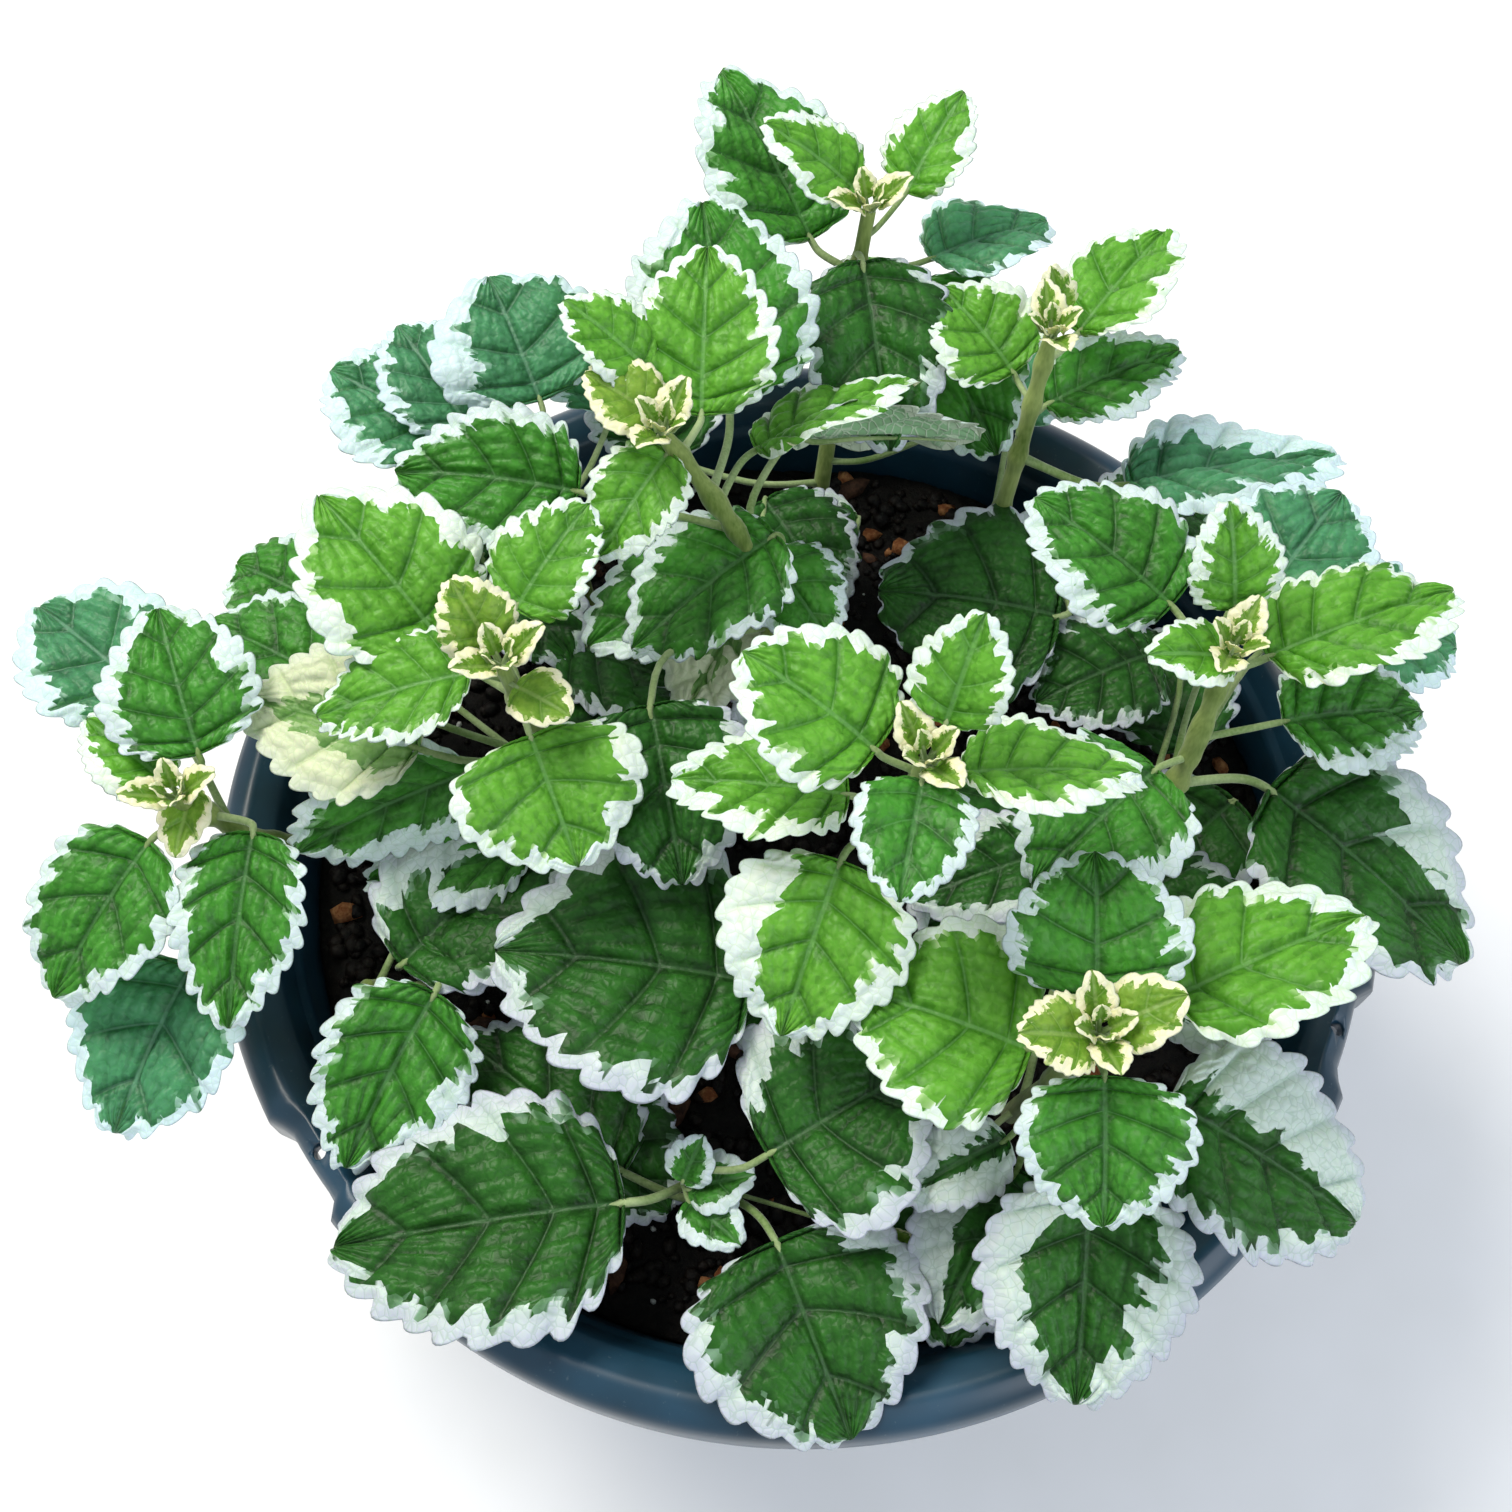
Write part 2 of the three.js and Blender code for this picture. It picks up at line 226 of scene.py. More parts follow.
# Domes packed like cobbles, 0 in the creases to 1 on top: one less the squared distance to the
# nearest of a grid of cell points, each point moved at random within its cell.
def cobbleDomes(points, cell, seed):
    table = np.random.default_rng(seed).uniform(0.1, 0.9, (4096, 2))
    place = points / cell
    corner = np.floor(place).astype(np.int64)
    nearest = np.full(place.shape[:-1], 9.0)
    for step in np.ndindex(3, 3):
        at = corner + np.array(step) - 1
        spot = at + table[np.abs(at[..., 0] * 73856093 + at[..., 1] * 19349663) % 4096]
        nearest = np.minimum(nearest, ((place - spot) ** 2).sum(-1))
    return 1 - np.clip(nearest * 1.7, 0, 1)


# Round tube along a path: point = centre + radius * (right cos a + up sin a).
def tubeShell(path, radii, sides, reference, slot=0):
    tangent = unit(np.gradient(path, axis=0))
    right = unit(np.cross(tangent, reference))
    up = np.cross(right, tangent)
    turn = np.linspace(0, 2 * np.pi, sides, endpoint=False)
    radii = np.broadcast_to(np.asarray(radii, float), (len(path),))
    circle = np.cos(turn)[:, None] * right[:, None] + np.sin(turn)[:, None] * up[:, None]
    grid = path[:, None] + radii[:, None, None] * circle
    foot = path[0] - tangent[0] * radii[0] * 0.4
    head = path[-1] + tangent[-1] * radii[-1] * 0.6
    return ringShell(grid, foot, head, slot)


def finishPiece(piece, slot, *nodes):
    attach(piece, "root")
    if nodes:
        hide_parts(*nodes)


# A node's distinct points in millimetres, and which points its triangles join.
def nodeShape(name):
    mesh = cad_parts[name].data
    loose = np.empty(len(mesh.vertices) * 3, np.float32)
    mesh.vertices.foreach_get("co", loose)
    corners = np.empty(len(mesh.loops), np.int32)
    mesh.loops.foreach_get("vertex_index", corners)
    rounded, first, merged = np.unique(
        np.round(loose.reshape(-1, 3) / mm, 3), axis=0, return_index=True, return_inverse=True)
    joined = np.zeros((len(rounded), len(rounded)), bool)
    triangles = merged.ravel()[corners].reshape(-1, 3)
    for i in range(3):
        joined[triangles[:, i], triangles[:, i - 1]] = True
        joined[triangles[:, i - 1], triangles[:, i]] = True
    return rounded, joined


# Rings of points, each one step further from where it starts.
def ringsFrom(joined, start):
    seen = np.zeros(len(joined), bool)
    ring = np.zeros(len(joined), bool)
    ring[start] = True
    rings = []
    while ring.any():
        rings.append(np.flatnonzero(ring))
        seen |= ring
        ring = joined[ring].any(0) & ~seen
    return rings


bladeStations = np.array([0.04, 0.16, 0.32, 0.5, 0.68, 0.84, 0.95])  # rings of a blade in the frame
petioleRings = 3


# Half width of an egg-shaped blade, as a share of its widest place.
def bladeOutline(share):
    return np.sin(np.pi * np.clip(share, 0, 1) ** 0.72) ** 0.62


# A leaf's growth values, measured from its node: where the blade starts, where it faces, how
# it pitches and droops, its length, width and roll, and the middle line of its petiole.
def measureLeaf(name):
    points, joined = nodeShape(name)
    poles = np.flatnonzero(joined.sum(0) == 8)
    spans = [np.linalg.norm(points[joined[pole]] - points[pole], axis=1).max() for pole in poles]
    rings = ringsFrom(joined, poles[int(np.argmin(spans))])
    petiole = [points[ring].mean(0) for ring in rings[:petioleRings + 1]]
    centres, across, lifts = [], [], []
    for ring in rings[petioleRings + 1:-1]:
        section = points[ring]
        gaps = np.linalg.norm(section[:, None] - section[None], axis=-1)
        edges = section[list(np.unravel_index(gaps.argmax(), gaps.shape))]
        along = np.abs((section - edges.mean(0)) @ unit(edges[1] - edges[0]))
        centre = section[np.argsort(along)[:2]].mean(0)
        centres.append(centre)
        across.append(edges[1] - edges[0])
        lifts.append(edges.mean(0) - centre)
    centres.append(points[rings[-1]][0])
    chords = np.diff(centres, axis=0)
    stations = np.append(bladeStations, 1)
    middles = (stations[1:] + stations[:-1]) / 2
    pitches = np.degrees(np.arcsin(chords[:, 2] / np.linalg.norm(chords, axis=1)))
    slope, start = np.polyfit(middles, pitches, 1)
    facing = np.degrees(np.arctan2(chords[:, 1].sum(), chords[:, 0].sum()))
    length = np.linalg.norm(chords, axis=1).sum() / (1 - bladeStations[0])
    along = direction(facing, start + slope * bladeStations)
    level = direction(facing - 90, 0)
    over = np.cross(level, along)
    lifts, across = np.array(lifts), np.array(across)
    up = unit(lifts - (lifts * along).sum(1, keepdims=True) * along)
    right = np.cross(along, up)
    roll = np.degrees(np.arctan2((right * over).sum(1), right @ level)).mean()
    reach = np.hypot(np.linalg.norm(across, axis=1) / 2, np.linalg.norm(lifts, axis=1))
    base = centres[0] - along[0] * bladeStations[0] * length
    return {
        "base": base, "facing": facing, "pitch": start + slope / 2, "droop": -slope, "length": length,
        "width": 2 * (reach / bladeOutline(bladeStations)).mean(), "roll": roll,
        "petiole": np.array([petiole[0], petiole[2], base]),
    }


# A stem's middle line, from its lowest ring up.
def measureStem(name):
    points, joined = nodeShape(name)
    foot = np.argsort(points[:, 2])[:8]
    return np.array([points[ring].mean(0) for ring in ringsFrom(joined, foot)])


nodeNames = sorted(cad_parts)
stemNames = [name for name in nodeNames if name.endswith("_stem")]
leafNames = [name for name in nodeNames if "_leaf_" in name]
stems = {name[:-5]: measureStem(name) for name in stemNames}
leaves = {name: measureLeaf(name) for name in leafNames}
potHigh = np.array(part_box("pot")[1]) / mm
soilHigh = np.array(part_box("soil")[1]) / mm
rimRadius = potHigh[0]
rimHeight = potHigh[2]
print("frame read:", len(stems), "stems,", len(leaves), "leaves, rim radius", round(float(rimRadius), 1))


# Colours of a leaf by its age, and shade, a bluish copy for leaves that lie in shade, which is painted
# shade. green runs from the dark to the plain cell tone by random tone and by painted shade in the
# creases, and its third colour is the painted highlight on each cobble's crown. halo is the
# half-coloured cell between green and white, net is the fine vein mesh.
leafLooks = {
    "young": {
        "green": ("#34700f", "#5fa12e", "#93c866"), "halo": "#a9cf8a",
        "white": "#dcefe4", "cream": "#e4e9bc", "vein": "#8cc07a", "edge": "#e2f2ec",
        "haloWidth": 0.05, "fingers": 0.30, "creamBase": 0.5,
    },
    "mature": {
        "green": ("#194b0c", "#3d8526", "#78b65c"), "halo": "#8fb98a",
        "white": "#cfe3dc", "cream": "#d3e0c6", "vein": "#6fa468", "edge": "#d6e4ea",
        "haloWidth": 0.06, "fingers": 0.26, "creamBase": 0.15,
    },
    "old": {
        "green": ("#0d3007", "#265f19", "#539142"), "halo": "#7da182",
        "white": "#c9dad0", "cream": "#cedbbf", "vein": "#5c8a58", "edge": "#cbcbe0",
        "haloWidth": 0.07, "fingers": 0.28, "creamBase": 0.1,
    },
    # Painted shade: a bluish copy of the leaf colours for leaves that lie in shade.
    "shade": {
        "green": ("#235736", "#468a5c", "#7fb898"), "halo": "#9cc4b0",
        "white": "#cfe8e6", "cream": "#c8dfd4", "vein": "#8fbfa2", "edge": "#d2e9f0",
        "haloWidth": 0.06, "fingers": 0.26, "creamBase": 0.0,
    },
    "pale": {
        "green": ("#4c7c34", "#7ba35a", "#a5c489"), "halo": "#a3bd84",
        "white": "#cfd9b4", "cream": "#d6dfb2", "vein": "#8fb074", "edge": "#dfe8d6",
        "haloWidth": 0.16, "fingers": 0.4, "creamBase": 0.4,
    },
    "bud": {
        "green": ("#53801c", "#779c34", "#a3bf58"), "halo": "#c9d68a",
        "white": "#f2f1cc", "cream": "#e6df9c", "vein": "#b0c47c", "edge": "#f0eed0",
        "haloWidth": 0.1, "fingers": 0.3, "creamBase": 0.8,
    },
}

leafFinish = {
    "roughness": 0.44,
    "blocks": (4.5, 15.0),  # large cells across and along the leaf, 3 to 5 mm
    "smallBlocks": (12.0, 36.0),  # small cells, 1.3 to 1.8 mm
    "netCell": 1.8,  # mm across one mesh of the vein net
    "cobbleHeight": 0.00042,
}


# The cell of leaf tissue round a point: its middle and its random colour.
def leafCell(tree, rows, blocks):
    size = (*blocks, 1)
    scaled = addNode(tree, "ShaderNodeVectorMath", {"operation": "MULTIPLY", 0: rows, 1: size}).outputs[0]
    block = addNode(tree, "ShaderNodeTexVoronoi", {"Scale": 1, "Randomness": 0.8, "Vector": scaled})
    shrink = {"operation": "DIVIDE", 0: block.outputs["Position"], 1: size}
    return addNode(tree, "ShaderNodeVectorMath", shrink).outputs[0], block.outputs["Color"]


# How far from the midrib a place is, whichever half it is on.
def fromMidrib(tree, place):
    parts = addNode(tree, "ShaderNodeSeparateXYZ", {0: place})
    return calculate(tree, "ABSOLUTE", parts.outputs["X"])


# Distance to the nearest line of the fine vein net, in cells.
def veinNet(tree, flat):
    shrink = {"operation": "SCALE", "Scale": 1 / leafFinish["netCell"], 0: flat}
    place = addNode(tree, "ShaderNodeVectorMath", shrink).outputs[0]
    texture = {"feature": "DISTANCE_TO_EDGE", "Scale": 1, "Randomness": 0.85, "Vector": place}
    return addNode(tree, "ShaderNodeTexVoronoi", texture).outputs["Distance"]


# Leaf blade, upper face: living tissue under a thin waxy cuticle, grown in cells between a net
# of sunken veins. Gives cobbled green blocks with painted shade in their creases and a painted
# highlight on their crowns, a ragged white margin and a soft gloss.
def makeLeafTop(name, look):
    material, tree, shader = newMaterial(name, {
        "Roughness": leafFinish["roughness"], "IOR": 1.42, "Specular IOR Level": 0.32,
        "Sheen Weight": 0.03, "Sheen Roughness": 0.5,
        "Subsurface Weight": 0.14, "Subsurface Radius": (0.5, 1.0, 0.25), "Subsurface Scale": 0.0015,
    })
    rows = readField(tree, "rows", "Vector")
    flat = readField(tree, "flat", "Vector")
    # Painted shade and highlight: the relief height darkens the creases and lightens the crests of the
    # green.
    reliefShading = readField(tree, "reliefShading")
    paintedReliefShading = remap(tree, reliefShading, 0.12, 0.8)
    along = addNode(tree, "ShaderNodeSeparateXYZ", {0: rows}).outputs["Y"]
    across = fromMidrib(tree, rows)

    # How far across the leaf the middle of the cell around a point lies.
    middle, _ = leafCell(tree, rows, leafFinish["blocks"])
    smallMiddle, smallColour = leafCell(tree, rows, leafFinish["smallBlocks"])
    reach = calculate(tree, "MULTIPLY_ADD", fromMidrib(tree, middle), -0.55, readField(tree, "greenEdge"))
    reach = calculate(tree, "MULTIPLY_ADD", fromMidrib(tree, smallMiddle), -0.45, reach)
    stretch = {"operation": "MULTIPLY", 0: middle, 1: (1.3, 11, 1)}
    finger = noise(tree, addNode(tree, "ShaderNodeVectorMath", stretch).outputs[0], 1, 1)
    reach = calculate(tree, "MULTIPLY_ADD", finger, look["fingers"] * 2, reach)
    reach = calculate(tree, "SUBTRACT", reach, look["fingers"])
    green = remap(tree, reach, -0.006, 0.006)

    # Vein net and cobbles between its lines
    net = veinNet(tree, flat)
    netLine = remap(tree, net, 0.015, 0.075, 1, 0)
    dome = {"interpolation_type": "SMOOTHSTEP", 0: net, 1: 0, 2: 0.36, 3: 0, 4: 1}
    cobble = addNode(tree, "ShaderNodeMapRange", dome).outputs[0]
    lateral = remap(tree, calculate(tree, "PINGPONG", readField(tree, "veinPhase"), 0.5), 0.012, 0.035, 1, 0)
    lateral = calculate(tree, "MULTIPLY", lateral, remap(tree, across, 0.45, 0.95, 0.75, 0.15))
    rib = remap(tree, fromMidrib(tree, flat), 0.25, 0.6, 1, 0)
    mainVein = calculate(tree, "MAXIMUM", lateral, rib)

    # Green tissue: dark to plain by random patch and cell tone, with painted shade in the low creases, and a
    # painted highlight on the crown of each cobble
    cellTone = addNode(tree, "ShaderNodeSeparateColor", {0: smallColour}).outputs[0]
    tone = calculate(tree, "MULTIPLY_ADD", cellTone, 0.3, noise(tree, flat, 0.14, 2))
    tone = remap(tree, tone, 0.38, 0.95, -0.42, 0.36)
    # Painted shade: low relief pulls the tissue towards the dark green.
    lift = {"operation": "ADD", "use_clamp": True, 0: tone, 1: paintedReliefShading}
    dark, plain, light = look["green"]
    tissue = blend(tree, addNode(tree, "ShaderNodeMath", lift).outputs[0], dark, plain)
    # Painted highlight: the crown of each cobble turns towards the light green, more where the relief is
    # high.
    crown = calculate(tree, "MULTIPLY", calculate(tree, "MULTIPLY", cobble, 0.14), paintedReliefShading)
    tissue = blend(tree, crown, tissue, light)
    halo = remap(tree, reach, 0, look["haloWidth"], 1, 0)
    halo = calculate(tree, "MULTIPLY", halo, remap(tree, cellTone, 0.5, 0.56))
    tissue = blend(tree, halo, tissue, look["halo"])
    tissue = blend(tree, calculate(tree, "MULTIPLY", mainVein, 0.26), tissue, look["vein"])

    # White tissue: cream towards the stalk of a young leaf, tinged at the very edge, and greyed towards the
    # halo colour in the creases as painted shade
    white = blend(tree, remap(tree, along, 0.1, 0.9, look["creamBase"], 0.0), look["white"], look["cream"])
    white = blend(tree, remap(tree, across, 0.82, 0.99, 0, 0.8), white, look["edge"])
    white = blend(tree, calculate(tree, "MULTIPLY", netLine, 0.3), white, look["halo"])
    # Painted shade: the white turns towards the halo colour in the low creases of the relief.
    white = blend(tree, remap(tree, reliefShading, 0.1, 0.5, 0.4, 0), white, look["halo"])
    colour = blend(tree, green, white, tissue)

    # Relief: cobbles, sunken main veins and a fine grain
    relief = calculate(tree, "MULTIPLY_ADD", noise(tree, flat, 2.2, 2), 0.16, cobble)
    relief = calculate(tree, "MULTIPLY_ADD", mainVein, -0.8, relief)
    finishShader(tree, shader, colour, relief, 0.3, leafFinish["cobbleHeight"])
    return material


# Leaf blade, lower face: the same tissue without the waxy layer. Gives a paler, matt and
# slightly downy face with raised veins.
def makeLeafUnder(name, look):
    material, tree, shader = newMaterial(name, {
        "Roughness": 0.7, "IOR": 1.4, "Specular IOR Level": 0.25,
        "Sheen Weight": 0.15, "Sheen Roughness": 0.6,
    })
    middle, _ = leafCell(tree, readField(tree, "rows", "Vector"), leafFinish["blocks"])
    reach = calculate(tree, "SUBTRACT", readField(tree, "greenEdge"), fromMidrib(tree, middle))
    line = remap(tree, veinNet(tree, readField(tree, "flat", "Vector")), 0.02, 0.12, 0.7, 0)
    tissue = blend(tree, line, look["halo"], look["cream"])
    colour = blend(tree, remap(tree, reach, -0.02, 0.04), look["cream"], tissue)
    finishShader(tree, shader, colour, line, 0.6, 0.0004)
    return material


# Petiole and stem: soft green wood under a downy skin. Gives an olive green with fine lengthwise
# streaks and a matt, slightly velvety edge.
def makeStemSkin(name, low, high):
    material, tree, shader = newMaterial(name, {
        "Roughness": 0.62, "IOR": 1.4, "Specular IOR Level": 0.3,
        "Sheen Weight": 0.35, "Sheen Roughness": 0.4,
    })
    place = objectPlace(tree)
    streakPlace = addNode(tree, "ShaderNodeMapping", {"Scale": (1, 1, 0.12), "Vector": place}).outputs[0]
    streak = noise(tree, streakPlace, 1800, 1)
    mixed = calculate(tree, "MULTIPLY_ADD", streak, 0.35, noise(tree, place, 90, 3))
    finishShader(tree, shader, blend(tree, remap(tree, mixed, 0.45, 0.9), low, high), streak, 0.5, 0.0002)
    return material


petioleSkin = makeStemSkin("downy_petiole", "#63803f", "#a3b582")
stemSkin = makeStemSkin("downy_green_stem", "#58712a", "#98a960")
leafMaterials = {}
# Each age has its own materials, and shade is a bluish copy used for painted shade.
for ageOrShade, look in leafLooks.items():
    upper = makeLeafTop(f"{ageOrShade}_leaf_upper_face", look)
    leafMaterials[ageOrShade] = [upper, makeLeafUnder(f"{ageOrShade}_leaf_lower_face", look), petioleSkin]
print("leaf materials made:", len(leafMaterials) * 2 + 2)


leafShape = {
    "fold": 13.0,  # degrees each half is raised from the midrib
    "thickness": 0.42,
    "toothDepth": 0.06,  # share of the length
    "toothLean": 1.3,  # above 1 the teeth point to the tip
    "sweep": 2.1,  # how far the side veins climb towards the tip
    "ribDepth": 0.9,
    "veinDepth": 0.85,
    "pillow": 1.7,
    "blister": 0.62,  # height of the uneven blisters on the cushions
    "crossDip": 0.6,  # how deep the cross veins cut the cushions between side veins
    "tongue": 0.07,  # how far the green runs into each tooth, as a share of the half width
    "wave": 1.3,
    "curl": 0.1,  # how far the margin turns down, as a share of the half width
    "fullLength": 45.0,  # the length that the depths above belong to
}


# Middle line and axes of a blade. The pitch falls evenly by the droop from base to tip.
def bladeFrame(growth, share):
    fine = np.linspace(-0.12, 1.2, 265)
    pitch = growth["pitch"] + growth["droop"] * (0.5 - fine)
    ahead = direction(growth["facing"], pitch)
    step = (fine[1] - fine[0]) * growth["length"]
    line = np.vstack([np.zeros(3), np.cumsum((ahead[1:] + ahead[:-1]) / 2 * step, axis=0)])
    line += growth["base"] - np.array([np.interp(0, fine, line[:, i]) for i in range(3)])
    centre = np.stack([np.interp(share, fine, line[:, i]) for i in range(3)], -1)
    along = direction(growth["facing"], growth["pitch"] + growth["droop"] * (0.5 - share))
    level = direction(growth["facing"] - 90, 0)
    over = np.cross(level, along)
    roll = np.radians(growth["roll"])
    right = level * np.cos(roll) + over * np.sin(roll)
    up = over * np.cos(roll) - level * np.sin(roll)
    return centre, along, right, up


# Margin of one half: the outline by its own length, with rounded teeth set out along its normal.
def bladeMargin(growth, t, teeth, phase):
    angle = np.linspace(0, np.pi, 500)
    share = (1 - np.cos(angle)) / 2
    x = growth["width"] / 2 * bladeOutline(share)
    y = growth["length"] * share
    run = np.append(0, np.cumsum(np.hypot(np.diff(x), np.diff(y))))
    run /= run[-1]
    plainX, plainY = np.interp(t, run, x), np.interp(t, run, y)
    ahead = unit(np.stack([np.gradient(plainX), np.gradient(plainY)], -1))
    step = t * teeth + phase
    lobe = np.abs(np.sin(np.pi * (step % 1) ** leafShape["toothLean"])) ** 0.7
    ends = smoothStep(t, 0.05, 0.2) * smoothStep(1 - t, 0, 0.05)
    size = leafShape["toothDepth"] * growth["length"] * ends * (0.75 + 0.25 * np.sin(step * 2.3))
    toothX = plainX + ahead[:, 1] * size * (lobe - 0.35) + ahead[:, 0] * size * 0.4 * lobe
    toothY = plainY - ahead[:, 0] * size * (lobe - 0.35) + ahead[:, 1] * size * 0.4 * lobe
    return plainX, plainY, toothX, toothY, np.sin(np.pi * (step % 1)) ** 2


# One leaf as shells: a closed blade and a petiole that runs on under it as the midrib.
# Across is u from -1 to 1 and along is t from 0 to 1; each row of t is a side vein's line.
def leafShells(growth, style, seed, rowCount, columnCount):
    rng = np.random.default_rng(seed)
    length, width = growth["length"], growth["width"]
    size = np.clip(length / leafShape["fullLength"], 0.16, 1.15)
    veins = int(rng.integers(5, 7)) if length > 14 else 3
    teeth = 2 * veins - int(rng.integers(0, 2))
    t = np.arange(1, rowCount + 1) / (rowCount + 1)
    v = np.linspace(-1, 1, columnCount)
    u = v * (1.3 - 0.3 * v * v)
    w = np.abs(u)[None]
    halves = [bladeMargin(growth, t, teeth, rng.uniform(0, 0.5)) for _ in range(2)]
    plainX, plainY, toothX, toothY, tongue = (
        np.where(u[None] >= 0, halves[0][i][:, None], halves[1][i][:, None]) for i in range(5))
    start = length * t[:, None] ** leafShape["sweep"]
    near = w ** 6
    x = np.sign(u) * (w * plainX + near * (toothX - plainX))
    y = start + (plainY - start) * w ** 1.2 + near * (toothY - plainY)

    # Relief above the smooth blade
    veinPhase = t[:, None] * (veins - 0.5) + 0.25 + 0 * w
    sideIndex = np.where(u[None] >= 0, 3, 11) + np.floor(veinPhase)
    jitter = (np.sin(sideIndex * 12.9898 + seed) * 43758.5453) % 1
    between = np.abs(np.sin(np.pi * veinPhase))
    inside = 1 - smoothStep(w, 0.75, 1.0)
    crossCount = 5.5 * np.clip(width / 34, 0.5, 1.2)
    sheetPlace = np.stack([x, y], -1) / size
    uneven = 1.1 * cobbleDomes(sheetPlace, 3.6, seed) + 0.35 * cobbleDomes(sheetPlace, 2.0, seed + 1) - 0.8
    blocks = np.abs(np.sin(np.pi * (w * crossCount + jitter))) ** 0.7
    dip = leafShape["crossDip"]
    relief = leafShape["pillow"] * (between ** 0.6) * (1 - dip + dip * blocks) * inside
    relief += leafShape["blister"] * uneven * (between ** 0.6) * (0.2 + 0.8 * inside)
    relief -= leafShape["veinDepth"] * np.exp(-(between / 0.14) ** 2) * inside
    relief -= leafShape["ribDepth"] * np.exp(-(x / 1.1) ** 2)
    relief = relief * smoothStep(w * width * 0.5, 0.0, 2.5) * smoothStep(t[:, None], 0.0, 0.12)
    # Relief height from 0 to 1, which the upper face uses to paint shade in the creases and a highlight on
    # the crests.
    reliefShading = np.clip(0.3 + relief / (2 * leafShape["pillow"]), 0, 1)
    turns = rng.uniform(1.6, 2.8, 2)
    starts = rng.uniform(0, 1, 2)
    right, left = (np.sin(2 * np.pi * (t[:, None] * turns[i] + starts[i])) for i in range(2))
    waves = np.where(u[None] >= 0, right, left)
    relief = (relief + leafShape["wave"] * waves * w ** 2.2) * size
    relief -= style.get("curl", leafShape["curl"]) * plainX * w ** 4

    centre, along, right, up = bladeFrame(growth, y / length)
    fold = np.radians(style.get("fold", leafShape["fold"]))
    soft = 1.4 * size
    rounded = np.sqrt(x * x + soft * soft)
    normal = unit(up * np.cos(fold) - right * (x / rounded * np.sin(fold))[..., None])
    middle = centre + right * (x * np.cos(fold))[..., None]
    middle = middle + up * ((rounded - soft) * np.sin(fold))[..., None] + normal * relief[..., None]
    half = leafShape["thickness"] / 2 * (1 - 0.6 * w ** 3) * np.clip(size, 0.5, 1) * (1 - (w > 0.999))
    top = middle + normal * (half * np.ones_like(x))[..., None]
    bottom = middle - normal * (half * np.ones_like(x))[..., None]
    grid = np.concatenate([top[:, ::-1], bottom[:, 1:-1]], axis=1)
    ends, _, _, _ = bladeFrame(growth, np.array([0.0, 1.0]))

    # Fields for the materials
    marginRight, marginLeft = style["margins"]
    tip = style.get("tip", 0.12)
    margin = np.where(u[None] >= 0, marginRight, marginLeft)
    edge = 1 - margin * (0.8 + 0.4 * smoothStep(t[:, None], 0.1, 0.5))
    edge = edge - tip * smoothStep(t[:, None], 0.7, 1.0) + leafShape["tongue"] * (tongue - 0.5)
    for markedHalf, place, depth, breadth in style.get("sectors", ()):
        sector = depth * np.exp(-((t[:, None] - place) / breadth) ** 2)
        edge = edge - (np.sign(u[None]) == markedHalf) * sector
    tag = (seed % 97) * 13.7

    def ringed(values):
        values = np.broadcast_to(values, x.shape)
        return np.concatenate([values[:, ::-1], values[:, 1:-1]], axis=1).ravel()

    def poled(values, first, last):
        return np.concatenate([[first], ringed(values), [last]])

    sheet = ringShell(grid, ends[0], ends[1])
    columns = np.tile(np.arange(grid.shape[1]), rowCount - 1)
    sheet["quadSlots"] = (columns >= columnCount - 1).astype(int)
    around = np.tile(np.arange(grid.shape[1]), 2)
    sheet["triangleSlots"] = (around >= columnCount - 1).astype(int)
    tags = np.full(len(sheet["points"]), tag)
    sheet["fields"] = {
        "rows": np.stack([poled(u[None], 0, 0), poled(t[:, None], 0, 1), tags], -1),
        "flat": np.stack([poled(x, 0, 0), poled(y, 0, length), tags], -1),
        "greenEdge": poled(edge, 1, 0.4),
        "veinPhase": poled(veinPhase, 0.25, veins - 0.25),
        "reliefShading": poled(reliefShading, 0.3, 0.3),
    }

    # Petiole, then the rib under the blade
    ribShare = np.array([0.12, 0.35, 0.6, 0.86])
    ribCentre, _, _, ribUp = bladeFrame(growth, ribShare)
    thick = 0.36 + 0.55 * size
    ribDrop = leafShape["ribDepth"] * size * 0.8 + 0.2 + thick * np.array([0.35, 0.2, 0.1, 0.0])
    path = smoothPath(np.vstack([growth["petiole"], ribCentre - ribUp * ribDrop[:, None]]), 34)
    reachAlong = np.linspace(0, 1, 34)
    radii = thick * np.interp(reachAlong, [0, 0.05, 0.3, 0.45, 1], [1.25, 1.0, 0.9, 0.75, 0.22])
    stalk = tubeShell(path, radii, 10, np.array([0.0, 0.0, 1.0]), slot=2)
    count = len(stalk["points"])
    plain = np.tile([0.0, 0.0, tag], (count, 1))
    stalk["fields"] = {
        "rows": plain, "flat": plain,
        "greenEdge": np.ones(count), "veinPhase": np.zeros(count), "reliefShading": np.zeros(count),
    }
    return [sheet, stalk]
